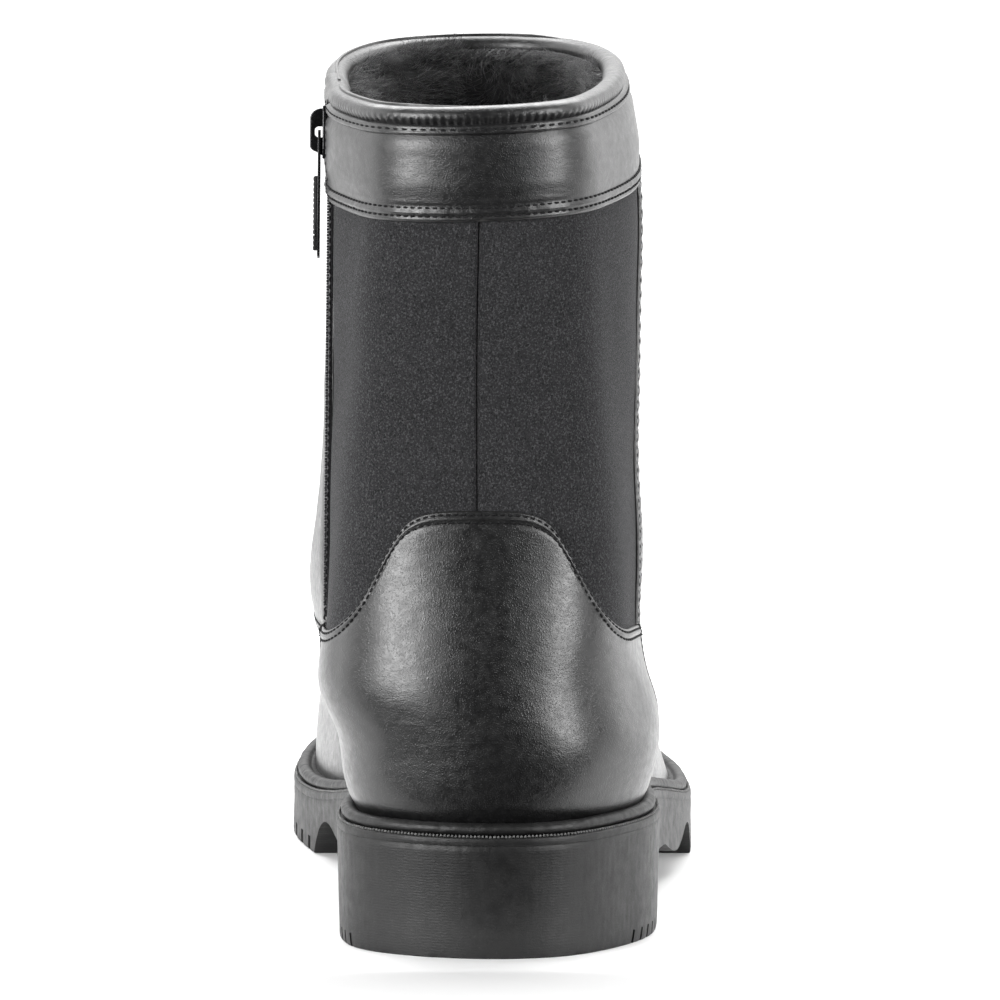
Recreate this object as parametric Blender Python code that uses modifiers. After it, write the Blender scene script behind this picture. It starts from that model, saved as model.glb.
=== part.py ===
"""Right-foot winter boot with a fur lining and a zip on the inner side: each piece is its own closed solid.

Blender 4.5. The row frame is in metres: +X to the outer side of the foot, +Y to the toe, +Z up, with the
origin on the floor at the middle of the sole's length and width. Dimensions below are in millimetres in the
last's frame, where y runs forward from the back of the sole and x from the middle of the heel.
"""

import math

import bmesh
import bpy
import numpy as np
from mathutils import Matrix

MM = 0.001

# ---------------------------------------------------------------------------------------------------------
# Driving dimensions, in millimetres
# ---------------------------------------------------------------------------------------------------------

SOLE_LENGTH = 305.0
HEEL_BREAST = 88.0  # where the heel block ends and the arch starts
ARCH_END = 150.0  # where the forefoot tread meets the floor again
ARCH_HEIGHT = 11.0
TREAD_DEPTH = 4.0
WALL_TAPER = (0.8, -0.2)  # how much narrower the sole is at the floor, on each side, at heel and forefoot

# Upper edge of the sole's side wall, as (y, z)
SOLE_TOP = ((0, 33), (60, 33), (100, 30.6), (140, 24.4), (175, 19.2), (205, 17.5), (240, 18.2), (275, 21),
            (305, 25.5))
TOE_SPRING_FROM = 235.0
TOE_SPRING = 9.0

# The foot's middle line in plan, as (y, x): it bends to the inner side at the toe
MIDDLE = ((0, 0), (13, -2.8), (30, -1.3), (48, 0.5), (80, 2.2), (115, 3.2), (150, 3.5), (175, 1.8), (212, -1.6),
          (250, -5), (282, -7.5), (305, -8.5))

# Plan outlines are given by half-widths at seven stations from back to front. A station is an angle t, and
# lies at (1 - cos t) / 2 of the length, so that the two round ends get the closest stations.
STATION_STEP = math.pi / 8
SOLE_WIDTHS = (29, 42.1, 39.6, 47.6, 55, 47.4, 27.5)

# Rings of the upper from the sole to the collar:
# (back y, back z, front y, front z, shift to +x, more shift over the forefoot, half-widths at the seven stations)
RINGS = (
    (6.5, 33.4, 298.5, 25.4, 0.3, 0, (26.5, 36.6, 33.8, 40.4, 48.8, 43, 25.5)),
    (4.0, 42, 300.5, 35.5, 0.2, -1.3, (28.5, 39.6, 36, 40.4, 46.9, 43, 26.5)),
    (2.6, 53, 298, 47, 0.2, -2.1, (29.5, 41.2, 38.8, 40, 44.6, 42.2, 26)),
    (3.0, 66, 287, 58, -4.0, -1.6, (30, 42.2, 40.6, 39.6, 42, 38, 23.5)),
    (5.0, 80, 265, 66.5, -6.6, 0, (29.5, 41.8, 43.2, 40.6, 38.5, 31.5, 19)),
    (8.5, 95, 236, 74.5, -6.6, 0, (28.5, 40.8, 44.6, 42, 35.5, 26.5, 15.5)),
    (11.3, 111, 205, 86, -5.9, 0, (27, 39, 43.6, 42, 34, 24, 13.5)),
    (12.8, 129, 178, 104, -5.2, 0, (25, 36.6, 41.4, 41, 35, 25.5, 14)),
    (13.2, 149, 159, 130, -4.5, 0, (23.5, 34.4, 40.2, 40.8, 37, 28.5, 16.5)),
    (12.6, 170, 148, 162, -3.8, 0, (22.3, 33, 39.3, 40.7, 38, 30.5, 18)),
    (11.2, 193, 141.5, 199, -3.5, 0, (20.8, 31.7, 38.6, 40.2, 38, 30.5, 18)),
    (10.0, 219, 139, 231, -7.6, 0, (20, 31, 38, 40, 38, 31, 18.5)),
)
FOREFOOT = (105.0, 195.0)  # where the shift over the forefoot sets in, and where it is whole
BACK_SEAM_X = -4.0  # the back seam stays here where the rings shift further to the inner side
BACK_BLEND = 45.0
FOOT_RINGS = 8  # rings below this one follow the sole's curve, less and less

# Straight line of the zip on the inner side, top and bottom, as (x, y, z)
ZIP_TOP = (-43.8, 62, 219)
ZIP_BOTTOM = (-45.2, 53, 77)
ZIP_PULL_IN = 24.0  # how far round the line the upper is drawn onto it
PULL_FADE = 24.0  # and how far below the line's end that fades out

# Layers of the upper, as depths below its outer surface
SKIN = 1.6
STIFFENER_DEPTH = 2.9
STIFFENER = 0.8
LINING_DEPTH = 4.8
SHAFT_FUR = 4.0
FOOT_FLEECE = 2.6
SEAM_GAP = 0.3  # half the gap between two panels of one layer
CURVED_GAP = 0.8  # the same at the top of foxing and vamp
LINING_SEAM_GAP = 2.2

# Seams
# Top of foxing and vamp near the back seam, as (distance round from the seam, height)
FOOT_TOP = ((0, 114.7), (10, 114.4), (16, 112.8), (20, 109.6), (25.5, 101), (31, 92.5), (38, 86), (46, 82.4),
            (57, 80.9), (80, 79))
THROAT_RISE = 28.5  # how far it climbs from its side height to the throat
THROAT_REACH = 88.0  # and over what distance round
FOXING_FRONT = ((36.0, 78.0), (82.0, 60.0))  # the seam between foxing and vamp, as (z, y)
SIDE_SEAM_Y = (68.0, 55.0)  # outer side seam, at the collar and at the sole
EDGE_STRIP = 7.0
BAND_BACK = (190.0, 213.0)  # lower and upper edge of the collar band at the back
BAND_FRONT = (201.0, 223.4)
COLLAR_TILT = 1.6  # how much higher the outer side of the collar is, and the inner side lower
LINING_SEAM_DROP = 8.0  # the seam between the two linings, below the top of foxing and vamp
COUNTER_TOP = 68.0
COUNTER_FRONT_Y = 64.0
PUFF_BACK_Y = 246.0
PUFF_TOP_Y = 268.0

# Rolled collar
ROLL_RADIUS = 3.0
ROLL_WALL = 1.1
ROLL_CORE = 1.6
ROLL_PROUD = 0.4  # how far it stands out from the shaft
ROLL_BACK_Z = 216.2  # height of its middle at the back and at the front
ROLL_FRONT_Z = 227.0

# Zip, across its line and outwards from the shaft's surface
ZIP_GAP = 3.8  # from the line to the edge of the upper, on each side
ROLL_GAP = 5.4
LINING_GAP = 7.0
TAPE = (0.4, 9.0)
TAPE_DEPTH = 2.0
TAPE_THICK = 0.7
GUARD_REACH = 13.0
GUARD_DEPTH = 3.1
GUARD_THICK = 0.8
TEETH_TOP_Z = 216.3
TEETH_BOTTOM_Z = 84.6
TOOTH_PITCH = 1.5
TOOTH_SWING = 0.5
TOOTH_CLEARANCE = 0.16
TEETH_HALF_WIDTH = 2.2
TEETH_OUT = (-1.6, -0.2)
STOP_HEIGHT = 1.8
SLIDER_Z = 209.0  # the slider's middle, with the zip closed
SLIDER_LENGTH = 14.0
SLIDER_HALF_WIDTH = 3.65
SLIDER_PLATE_OUT = (0.5, 1.6)
FLANGE = (2.6, 3.4)
FLANGE_FOOT = -1.5
BRIDGE_WIDTH = 1.7
# The bridge from the side, as (up, out) from the slider's middle: its back, and the window for the tab's bar
BRIDGE_OUTSIDE = ((-6.2, 1), (-6, 1.9), (-5.3, 2.9), (-4.9, 4), (-3.8, 4.9), (3.8, 4.9), (5.4, 3.9), (6.2, 2.2),
                  (6.2, 1))
BRIDGE_INSIDE = ((-1.4, 1), (-1.4, 2.9), (-0.8, 3.6), (0.8, 3.6), (1.4, 2.9), (1.4, 1))
PIVOT_OUT = 2.4
PULLER_LENGTH = 33.0
PULLER_HALF_WIDTH = 2.9
PULLER_THICK = 0.7
PULLER_BAR = 0.6  # half the height of the bar that turns in the bridge
PULLER_WINDOW = (1.45, 6.7)  # half-width, and lower end below the pivot
GRIP_SPAN = (-31.0, -11.5)  # along the tab, from the pivot
GRIP_RIBS = 7

# Sole and what lies on it, as heights above or below the sole's top edge
LIP = -1.4  # top of the sole's rim
WELT_BAND = (-1.1, 1.2)
WELT_INSET = 2.0  # from the sole's outline to the welt
WELT_OFF_UPPER = 0.9
BOARD = (-1.1, 0.8)
BOARD_INSET = 3.9  # inside the upper's outer surface
FOOTBED = (1.1, 5.4)
FOOTBED_INSET = 10.2
SHANK = (62.0, 150.0)
SHANK_HALF_WIDTH = 7.0
SHANK_THICK = 1.2
FILLER = (15.0, 58.0)
FILLER_WIDTHS = (17, 25, 28, 28, 28, 25, 17)
FILLER_FLOOR = 8.0
CLEAR = 0.3  # gap between pieces that touch
GROOVE_WIDTH = 4.0
FOREFOOT_GROOVES = (161.0, 172.5, 184.0, 195.5, 207.0, 218.5, 230.0, 241.5, 253.0, 264.5, 276.0)
HEEL_GROOVES = (14.0, 25.0, 36.0, 60.0, 71.0)


# ---------------------------------------------------------------------------------------------------------
# Curves and the upper's surface
# ---------------------------------------------------------------------------------------------------------


def spline(knots, values, at, flat_ends=False):
    """Cubic spline through values, one for each knot along the first axis, read at the places `at`."""
    knots, values = np.asarray(knots, float), np.asarray(values, float)
    count, step = len(knots), np.diff(np.asarray(knots, float))
    slope = (values[1:] - values[:-1]) / step.reshape(-1, *[1] * (values.ndim - 1))
    system, right = np.zeros((count, count)), np.zeros_like(values)
    for i in range(1, count - 1):
        system[i, i - 1 : i + 2] = step[i - 1], 2 * (step[i - 1] + step[i]), step[i]
        right[i] = 6 * (slope[i] - slope[i - 1])
    if flat_ends:
        system[0, :2], right[0] = (2 * step[0], step[0]), 6 * slope[0]
        system[-1, -2:], right[-1] = (step[-1], 2 * step[-1]), -6 * slope[-1]
    else:
        system[0, 0] = system[-1, -1] = 1
    bend = np.linalg.solve(system, right.reshape(count, -1)).reshape(values.shape)
    at = np.clip(np.asarray(at, float), knots[0], knots[-1])
    k = np.clip(np.searchsorted(knots, at) - 1, 0, count - 2)
    shape = (*at.shape, *[1] * (values.ndim - 1))
    h, left, rest = (x.reshape(shape) for x in (step[k], at - knots[k], knots[k + 1] - at))
    curved = (bend[k] * rest**3 + bend[k + 1] * left**3) / (6 * h)
    return curved + (values[k] / h - bend[k] * h / 6) * rest + (values[k + 1] / h - bend[k + 1] * h / 6) * left


def through(points, at):
    """The spline through a list of (where, value) pairs."""
    where, value = zip(*points)
    return spline(where, value, at)


def sole_top(y):
    return through(SOLE_TOP, y)


def sole_bottom(y):
    rise = np.clip((np.asarray(y, float) - TOE_SPRING_FROM) / (SOLE_LENGTH - TOE_SPRING_FROM), 0, 1)
    return TOE_SPRING * rise**2


def sole_taper(y):
    heel, forefoot = WALL_TAPER
    return heel + (forefoot - heel) * smooth((y - HEEL_BREAST) / (ARCH_END - HEEL_BREAST))


def half_width(widths, t):
    """Half-width of a plan outline at station angle t, round at both ends."""
    stations = STATION_STEP * np.arange(9)
    inner = np.asarray(widths, float) / np.sin(stations[1:-1])
    back = inner[0] + (inner[0] - inner[1]) / 3
    front = inner[-1] + (inner[-1] - inner[-2]) / 3
    return spline(stations, [back, *inner, front], t, flat_ends=True) * np.sin(t)


def smooth(x):
    x = np.clip(x, 0, 1)
    return x * x * (3 - 2 * x)


class Upper:
    """The upper's outer surface. A point on it has p, how far round it is: 0 at the back, 1 at the front by
    the outer side, 2 at the back again by the inner side; and v, from 0 at the sole to 1 at the collar."""

    ROUND, UP = 360, 240

    def __init__(self):
        t = np.linspace(0, math.pi, 400)
        rings = []
        for index, (y0, z0, y1, z1, shift, lean, widths) in enumerate(RINGS):
            along = (1 - np.cos(t)) / 2
            y = y0 + (y1 - y0) * along
            follow = max(0.0, 1 - index / FOOT_RINGS)
            dip = sole_top(y) - sole_top(y0) - (sole_top(y1) - sole_top(y0)) * along
            z = z0 + (z1 - z0) * along + follow * dip
            behind = 1 - smooth((y - y0) / BACK_BLEND)
            middle = through(MIDDLE, y) * max(0.35, follow) + shift + (max(shift, BACK_SEAM_X) - shift) * behind
            middle = middle + lean * smooth((y - FOREFOOT[0]) / (FOREFOOT[1] - FOREFOOT[0]))
            width = half_width(widths, t)
            halves = []
            for side in (1, -1):
                points = np.stack([middle + side * width, y, z], axis=1)
                run = np.concatenate([[0], np.cumsum(np.linalg.norm(np.diff(points, axis=0), axis=1))])
                even = np.linspace(0, run[-1], self.ROUND // 2 + 1)
                halves.append(np.stack([np.interp(even, run, points[:, i]) for i in range(3)], axis=1))
            rings.append(np.concatenate([halves[0], halves[1][-2:0:-1]]))
        rings = np.array(rings)
        gaps = np.linalg.norm(np.diff(rings, axis=0), axis=2).mean(axis=1)
        heights = np.concatenate([[0], np.cumsum(gaps)]) / gaps.sum()
        self.points = spline(heights, rings, np.linspace(0, 1, self.UP + 1))
        self._onto_zip_line()
        closed = np.concatenate([self.points[:, -1:], self.points, self.points[:, :1]], axis=1)
        across = (closed[:, 2:] - closed[:, :-2]) / 2
        normal = np.cross(across, np.gradient(self.points, axis=0))
        self.normals = normal / np.linalg.norm(normal, axis=2, keepdims=True)

    def _onto_zip_line(self):
        """Draws the inner side onto the zip's straight line."""
        x, y, z = np.moveaxis(self.points, 2, 0)
        top, bottom = np.array(ZIP_TOP), np.array(ZIP_BOTTOM)
        half = self.ROUND // 2
        for row in range(self.UP + 1):
            inner = slice(half + 1, self.ROUND)
            order = np.argsort(y[row, inner])
            height = np.interp(75, y[row, inner][order], z[row, inner][order])
            share = (height - bottom[2]) / (top[2] - bottom[2])
            line = bottom + (top - bottom) * np.clip(share, -0.2, 1.2)
            off = np.interp(line[1], y[row, inner][order], x[row, inner][order]) - line[0]
            strength = smooth((height - bottom[2] + PULL_FADE) / PULL_FADE)
            near = np.exp(-(((y[row, inner] - line[1]) / ZIP_PULL_IN) ** 2))
            self.points[row, inner, 0] -= off * strength * near

    def _read(self, table, p, v):
        p, v = np.broadcast_arrays(np.asarray(p, float), np.asarray(v, float))
        column = np.mod(p, 2) / 2 * self.ROUND
        row = np.clip(v, 0, 1) * self.UP
        c, r = np.floor(column).astype(int), np.minimum(np.floor(row).astype(int), self.UP - 1)
        fc, fr = (column - c)[..., None], (row - r)[..., None]
        c, n = c % self.ROUND, (c + 1) % self.ROUND
        low = table[r, c] * (1 - fc) + table[r, n] * fc
        high = table[r + 1, c] * (1 - fc) + table[r + 1, n] * fc
        return low * (1 - fr) + high * fr

    def at(self, p, v, depth=0.0):
        """Points at (p, v), at a depth below the outer surface."""
        normal = self._read(self.normals, p, v)
        normal /= np.linalg.norm(normal, axis=-1, keepdims=True)
        return self._read(self.points, p, v) - normal * np.asarray(depth)[..., None]

    def v_at_height(self, p, z):
        """v where the column p reaches height z."""
        p, z = np.broadcast_arrays(np.asarray(p, float), np.asarray(z, float))
        levels = np.linspace(0, 1, self.UP + 1)
        columns = self._read(self.points, p.ravel()[:, None], levels[None, :])[..., 2]
        return np.array([np.interp(h, c, levels) for h, c in zip(z.ravel(), columns)]).reshape(p.shape)

    def p_at_y(self, v, y, outer):
        """p where the row v reaches y, on the outer side or the inner one."""
        v, y = np.broadcast_arrays(np.asarray(v, float), np.asarray(y, float))
        rounds = np.linspace(0, 1, self.ROUND // 2 + 1)
        rows = self._read(self.points, (rounds if outer else -rounds)[None, :], v.ravel()[:, None])[..., 1]
        found = np.array([np.interp(w, row, rounds) for w, row in zip(y.ravel(), rows)]).reshape(v.shape)
        return found if outer else -found

    def distance_round(self, p, v):
        """Distance along the row v from the back seam, in millimetres, and from the front."""
        rows = np.arange(self.UP + 1)
        lengths = np.linalg.norm(self.points - np.roll(self.points, -1, axis=1), axis=2).sum(axis=1)
        from_front = np.abs(np.mod(np.asarray(p, float), 2) - 1)
        half = np.interp(np.asarray(v, float) * self.UP, rows, lengths) / 2
        return (1 - from_front) * half, from_front * half


UPPER = Upper()


# ---------------------------------------------------------------------------------------------------------
# Seams, as functions of p or v
# ---------------------------------------------------------------------------------------------------------


def zip_point(z, across=0.0):
    """Point of the zip's line at height z, in the last's frame, moved forward by `across`."""
    share = (z - ZIP_BOTTOM[2]) / (ZIP_TOP[2] - ZIP_BOTTOM[2])
    x, y = (b + (t - b) * share for b, t in zip(ZIP_BOTTOM[:2], ZIP_TOP[:2]))
    return x, y + across, z


def p_beside_zip(v, across):
    """p beside the zip at row v: `across` millimetres in front of its line, or behind it if negative."""
    p = np.full(np.shape(v), -0.5)
    for _ in range(4):
        z = UPPER.at(p, v)[..., 2]
        p = UPPER.p_at_y(v, zip_point(z)[1] + across, outer=False)
    return p


def p_side_seam(v, ahead=0.0):
    """p of the outer side seam at row v."""
    top, bottom = SIDE_SEAM_Y
    return UPPER.p_at_y(v, bottom + (top - bottom) * np.asarray(v, float) + ahead, outer=True)


def p_foxing_front(v, outer, ahead=0.0):
    """p of the seam between foxing and vamp, which leans forward as it rises."""
    (z0, y0), (z1, y1) = FOXING_FRONT
    p = np.full(np.shape(v), 0.35 if outer else -0.35)
    for _ in range(4):
        rise = (UPPER.at(p, v)[..., 2] - z0) / (z1 - z0)
        p = UPPER.p_at_y(v, y0 + (y1 - y0) * rise + ahead, outer)
    return p


def v_foot_top(p, up=0.0):
    """Top of the foxing and the vamp: high at the back seam, level along the sides, then up to the throat."""
    p = np.asarray(p, float)
    v = np.full(p.shape, 0.5)
    for _ in range(6):
        from_back, from_front = UPPER.distance_round(p, v)
        height = through(FOOT_TOP, from_back) + THROAT_RISE * smooth(1 - from_front / THROAT_REACH)
        v = UPPER.v_at_height(p, height + up)
    return v


def collar_height(p, back, front):
    """A level round the shaft that rises from back to front, and a little from the inner to the outer side."""
    turn = math.pi * np.asarray(p, float)
    return back + (front - back) * (1 - np.cos(turn)) / 2 + COLLAR_TILT * np.sin(turn)


def band_height(p, edge, up=0.0):
    """Height of the collar band's lower (edge 0) or upper (edge 1) edge at p."""
    return collar_height(p, BAND_BACK[edge], BAND_FRONT[edge]) + up


def v_band(p, edge, up=0.0):
    return UPPER.v_at_height(p, band_height(p, edge, up))


# ---------------------------------------------------------------------------------------------------------
# Making solids
# ---------------------------------------------------------------------------------------------------------

# Middle of the sole's plan, so that the row frame's origin lies there
SPAN = np.linspace(0, math.pi, 721)
SPAN_Y = SOLE_LENGTH * (1 - np.cos(SPAN)) / 2
CENTRE_X = float(
    (through(MIDDLE, SPAN_Y) + half_width(SOLE_WIDTHS, SPAN)).max()
    + (through(MIDDLE, SPAN_Y) - half_width(SOLE_WIDTHS, SPAN)).min()
) / 2
CENTRE_Y = SOLE_LENGTH / 2


def to_row(points):
    """Last's frame in millimetres to row frame in metres."""
    return (np.asarray(points, float) - (CENTRE_X, CENTRE_Y, 0)) * MM


def material(name, colour, roughness, metallic=0.0):
    made = bpy.data.materials.new(name)
    made.use_nodes = True
    shader = made.node_tree.nodes["Principled BSDF"]
    shader.inputs["Base Color"].default_value = (*colour, 1)
    shader.inputs["Roughness"].default_value = roughness
    shader.inputs["Metallic"].default_value = metallic
    made.diffuse_color = (*colour, 1)
    return made


def clear_scene():
    for old in list(bpy.data.objects):
        bpy.data.objects.remove(old, do_unlink=True)


clear_scene()
BOOT = bpy.data.collections.new("winter_boot")
CUTTERS = bpy.data.collections.new("cutters")
for made_collection in (BOOT, CUTTERS):
    bpy.context.scene.collection.children.link(made_collection)

LEATHER = material("leather", (0.022, 0.022, 0.023), 0.38)
SHAFT_FABRIC = material("shaft_fabric", (0.06, 0.06, 0.062), 0.85)
FUR = material("fur", (0.02, 0.02, 0.021), 0.95)
FLEECE = material("fleece", (0.05, 0.05, 0.055), 0.95)
RUBBER = material("rubber", (0.03, 0.03, 0.03), 0.45)
BOARD_FINISH = material("board", (0.45, 0.38, 0.27), 0.8)
STIFF = material("stiffener", (0.7, 0.68, 0.62), 0.7)
FOAM = material("foam", (0.6, 0.6, 0.58), 0.9)
STEEL = material("steel", (0.6, 0.6, 0.6), 0.3, 1.0)
TAPE_FINISH = material("zip_tape", (0.02, 0.02, 0.02), 0.9)
TEETH = material("zip_teeth", (0.08, 0.08, 0.085), 0.35, 0.8)
SLIDER_METAL = material("slider_metal", (0.03, 0.03, 0.032), 0.2, 0.9)


def add_object(name, mesh, finish, collection=BOOT):
    made = bpy.data.objects.new(name, mesh)
    made.data.materials.append(finish)
    collection.objects.link(made)
    if collection is CUTTERS:
        made.hide_render = True
        made.display_type = "WIRE"
    return made


def mesh_of(name, points, faces):
    mesh = bpy.data.meshes.new(name)
    mesh.from_pydata([tuple(p) for p in points], [], faces)
    mesh.validate()
    mesh.shade_smooth()
    return mesh


def grid_faces(rows, columns, ring=False):
    """Quads of a grid of rows x columns points; `ring` joins the last column to the first."""
    wide = columns if ring else columns - 1
    return [
        (r * columns + c, r * columns + (c + 1) % columns, (r + 1) * columns + (c + 1) % columns, (r + 1) * columns + c)
        for r in range(rows - 1)
        for c in range(wide)
    ]


def panel(name, p_low, p_high, v_low, v_high, size, finish, depth=0.0, thickness=SKIN):
    """A sheet of the upper between four seams, thickened inwards. p_low and p_high are functions of v, and
    v_low and v_high are functions of p."""
    columns, rows = size
    a, b = np.meshgrid(np.linspace(0, 1, columns), np.linspace(0, 1, rows))
    v = np.full(a.shape, 0.5)
    for _ in range(6):
        start, end = p_low(v), p_high(v)
        p = start + (end - start) * a
        low, high = v_low(p), v_high(p)
        v = low + (high - low) * b
    points = to_row(UPPER.at(p, v, depth)).reshape(-1, 3)
    made = add_object(name, mesh_of(name, points, grid_faces(rows, columns)), finish)
    shell = made.modifiers.new("thickness", "SOLIDIFY")
    shell.thickness = thickness * MM
    shell.offset = -1
    return made


def plate(name, start, end, widths, low, high, finish, count=44, taper=None, collection=BOOT):
    """A plate that follows the sole: `widths` are its seven half-widths between y = start and y = end, and low
    and high are its faces' heights as functions of y. The low face is narrower by taper(y) on each side."""
    t = np.linspace(0, math.pi, count + 2)[1:-1]
    y = start + (end - start) * (1 - np.cos(t)) / 2
    middle, width = through(MIDDLE, y), half_width(widths, t)
    less = taper(y) if taper else 0 * y
    corners = ((-1, low, less), (1, low, less), (1, high, 0), (-1, high, 0))
    rows = [np.stack([middle + side * (width - inset), y, face(y)], axis=1) for side, face, inset in corners]
    points = list(np.stack(rows, axis=1).reshape(-1, 3))
    faces = [
        (4 * i + k, 4 * i + 4 + k, 4 * i + 4 + (k + 1) % 4, 4 * i + (k + 1) % 4)
        for i in range(count - 1)
        for k in range(4)
    ]
    for first, tip in ((0, start), (4 * (count - 1), end)):
        x = float(through(MIDDLE, tip))
        points += [(x, tip, float(low(tip))), (x, tip, float(high(tip)))]
        below, above = len(points) - 2, len(points) - 1
        cap = [
            (first, first + 1, below),
            (first + 1, first + 2, above, below),
            (first + 2, first + 3, above),
            (first + 3, first, below, above),
        ]
        faces += cap if tip == start else [face[::-1] for face in cap]
    mesh = mesh_of(name, to_row(points), faces)
    made = add_object(name, mesh, finish, collection)
    outward(made)
    return made


def outward(obj):
    """Turns all of a closed mesh's faces outwards."""
    bm = bmesh.new()
    bm.from_mesh(obj.data)
    bmesh.ops.recalc_face_normals(bm, faces=bm.faces)
    bm.to_mesh(obj.data)
    bm.free()


def cut(obj, cutter, operation="DIFFERENCE"):
    """Cuts obj by cutter, or joins the two, with a Boolean modifier."""
    boolean = obj.modifiers.new(f"{operation.lower()}_{cutter.name}", "BOOLEAN")
    boolean.object = cutter
    boolean.operation = operation


def ring_between(name, outer, inner, low, high, finish, count=40):
    """A closed ring on the sole between two plan outlines, each (start, end, widths)."""
    t = np.linspace(0, math.pi, count + 1)
    t = np.concatenate([t, t[-2:0:-1]])
    side = np.where(np.arange(2 * count) <= count, 1.0, -1.0)
    lines = []
    for (start, end, widths), face in ((outer, low), (outer, high), (inner, high), (inner, low)):
        y = start + (end - start) * (1 - np.cos(t)) / 2
        x = through(MIDDLE, y) + side * half_width(widths, t)
        lines.append(np.stack([x, y, sole_top(y) + face], axis=1))
    points = np.stack([*lines, lines[0]], axis=1)
    faces = [
        (4 * i + k, 4 * i + (k + 1) % 4, (4 * i + 4 + (k + 1) % 4) % (8 * count), (4 * i + 4 + k) % (8 * count))
        for i in range(2 * count)
        for k in range(4)
    ]
    made = add_object(name, mesh_of(name, to_row(points[:, :4]).reshape(-1, 3), faces), finish)
    outward(made)
    return made


def sweep(name, places, section, finish):
    """A solid swept along the collar: `places` is (p, v, depth) at each station, and `section` is a closed
    outline of (outwards, up) offsets."""
    p, v, depth = places
    centres = UPPER.at(p, v, depth)
    along = np.gradient(centres, axis=0)
    outwards = np.cross(along, (0, 0, 1))
    outwards /= np.linalg.norm(outwards, axis=1, keepdims=True)
    section = np.asarray(section, float)
    points = centres[:, None] + section[None, :, :1] * outwards[:, None] + section[None, :, 1:] * (0, 0, 1)
    stations, sides = points.shape[:2]
    faces = [face[::-1] for face in grid_faces(stations, sides, ring=True)]
    faces += [tuple(range(sides)), tuple(range(sides * stations - 1, sides * (stations - 1) - 1, -1))]
    made = add_object(name, mesh_of(name, to_row(points).reshape(-1, 3), faces), finish)
    outward(made)
    return made


def zip_frame():
    """Unit vectors across the zip (forwards), up its line, and out of the boot."""
    up = np.subtract(ZIP_TOP, ZIP_BOTTOM)
    up /= np.linalg.norm(up)
    out = np.array((-1.0, 0, 0)) + up * up[0]
    out /= np.linalg.norm(out)
    return np.cross(out, up), up, out


def place_on_zip(obj, z, out=0.0):
    """Puts an object modelled as x across, y up and z out on the zip's line at height z."""
    across, up, outwards = zip_frame()
    spot = to_row(np.array(zip_point(z)) + out * outwards)
    columns = [[*axis, 0] for axis in (across, up, outwards)] + [[*spot, 1]]
    obj.matrix_world = Matrix(columns).transposed()


def prism(name, outline, start, end, finish, plane="xy", collection=BOOT):
    """A flat outline in millimetres extruded from start to end along the plane's third axis."""
    order = {"xy": (0, 1, 2), "xz": (0, 2, 1), "yz": (1, 2, 0)}[plane]
    bm = bmesh.new()
    corners = []
    for first, second in outline:
        spot = [0.0, 0.0, 0.0]
        spot[order[0]], spot[order[1]], spot[order[2]] = first * MM, second * MM, start * MM
        corners.append(bm.verts.new(spot))
    face = bm.faces.new(corners)
    moved = bmesh.ops.extrude_face_region(bm, geom=[face])["geom"]
    shift = [0.0, 0.0, 0.0]
    shift[order[2]] = (end - start) * MM
    bmesh.ops.translate(bm, vec=shift, verts=[v for v in moved if isinstance(v, bmesh.types.BMVert)])
    bmesh.ops.recalc_face_normals(bm, faces=bm.faces)
    mesh = bpy.data.meshes.new(name)
    bm.to_mesh(mesh)
    bm.free()
    return add_object(name, mesh, finish, collection)


def rectangle(x0, x1, y0, y1):
    return ((x0, y0), (x1, y0), (x1, y1), (x0, y1))


# ---------------------------------------------------------------------------------------------------------
# Bottom
# ---------------------------------------------------------------------------------------------------------


def narrower(widths, by):
    return tuple(width - by for width in widths)


def make_outsole():
    sole = plate("outsole", 0, SOLE_LENGTH, SOLE_WIDTHS, sole_bottom, lambda y: sole_top(y) + LIP, RUBBER,
                 taper=sole_taper)
    arch = ((HEEL_BREAST, -5), (HEEL_BREAST + 2, ARCH_HEIGHT - 3), (HEEL_BREAST + 9, ARCH_HEIGHT),
            (HEEL_BREAST + 22, ARCH_HEIGHT), (ARCH_END - 14, 6), (ARCH_END, -5))
    arch_cutter = prism("arch_cutter", arch, -80, 80, RUBBER, "yz", CUTTERS)
    bm = bmesh.new()
    for y in (*FOREFOOT_GROOVES, *HEEL_GROOVES):
        floor = float(sole_bottom(y))
        size = Matrix.Diagonal((0.2, GROOVE_WIDTH * MM, 2 * TREAD_DEPTH * MM, 1))
        bmesh.ops.create_cube(bm, size=1, matrix=Matrix.Translation((0, y * MM, floor * MM)) @ size)
    mesh = bpy.data.meshes.new("groove_cutter")
    bm.to_mesh(mesh)
    bm.free()
    groove_cutter = add_object("groove_cutter", mesh, RUBBER, CUTTERS)
    for cutter in (arch_cutter, groove_cutter):
        cutter.location = (0, -CENTRE_Y * MM, 0)
        cut(sole, cutter)
    pocket = plate("filler_cutter", FILLER[0] - CLEAR, FILLER[1] + CLEAR, narrower(FILLER_WIDTHS, -CLEAR),
                   lambda y: 0 * y + FILLER_FLOOR - CLEAR, lambda y: sole_top(y) + 5, RUBBER, 12, None, CUTTERS)
    slot = plate("shank_cutter", SHANK[0] - CLEAR, SHANK[1] + CLEAR, (SHANK_HALF_WIDTH + CLEAR,) * 7,
                 lambda y: sole_top(y) + LIP - SHANK_THICK - 2 * CLEAR, lambda y: sole_top(y) + 5, RUBBER, 12, None,
                 CUTTERS)
    cut(sole, pocket)
    cut(sole, slot)


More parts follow.
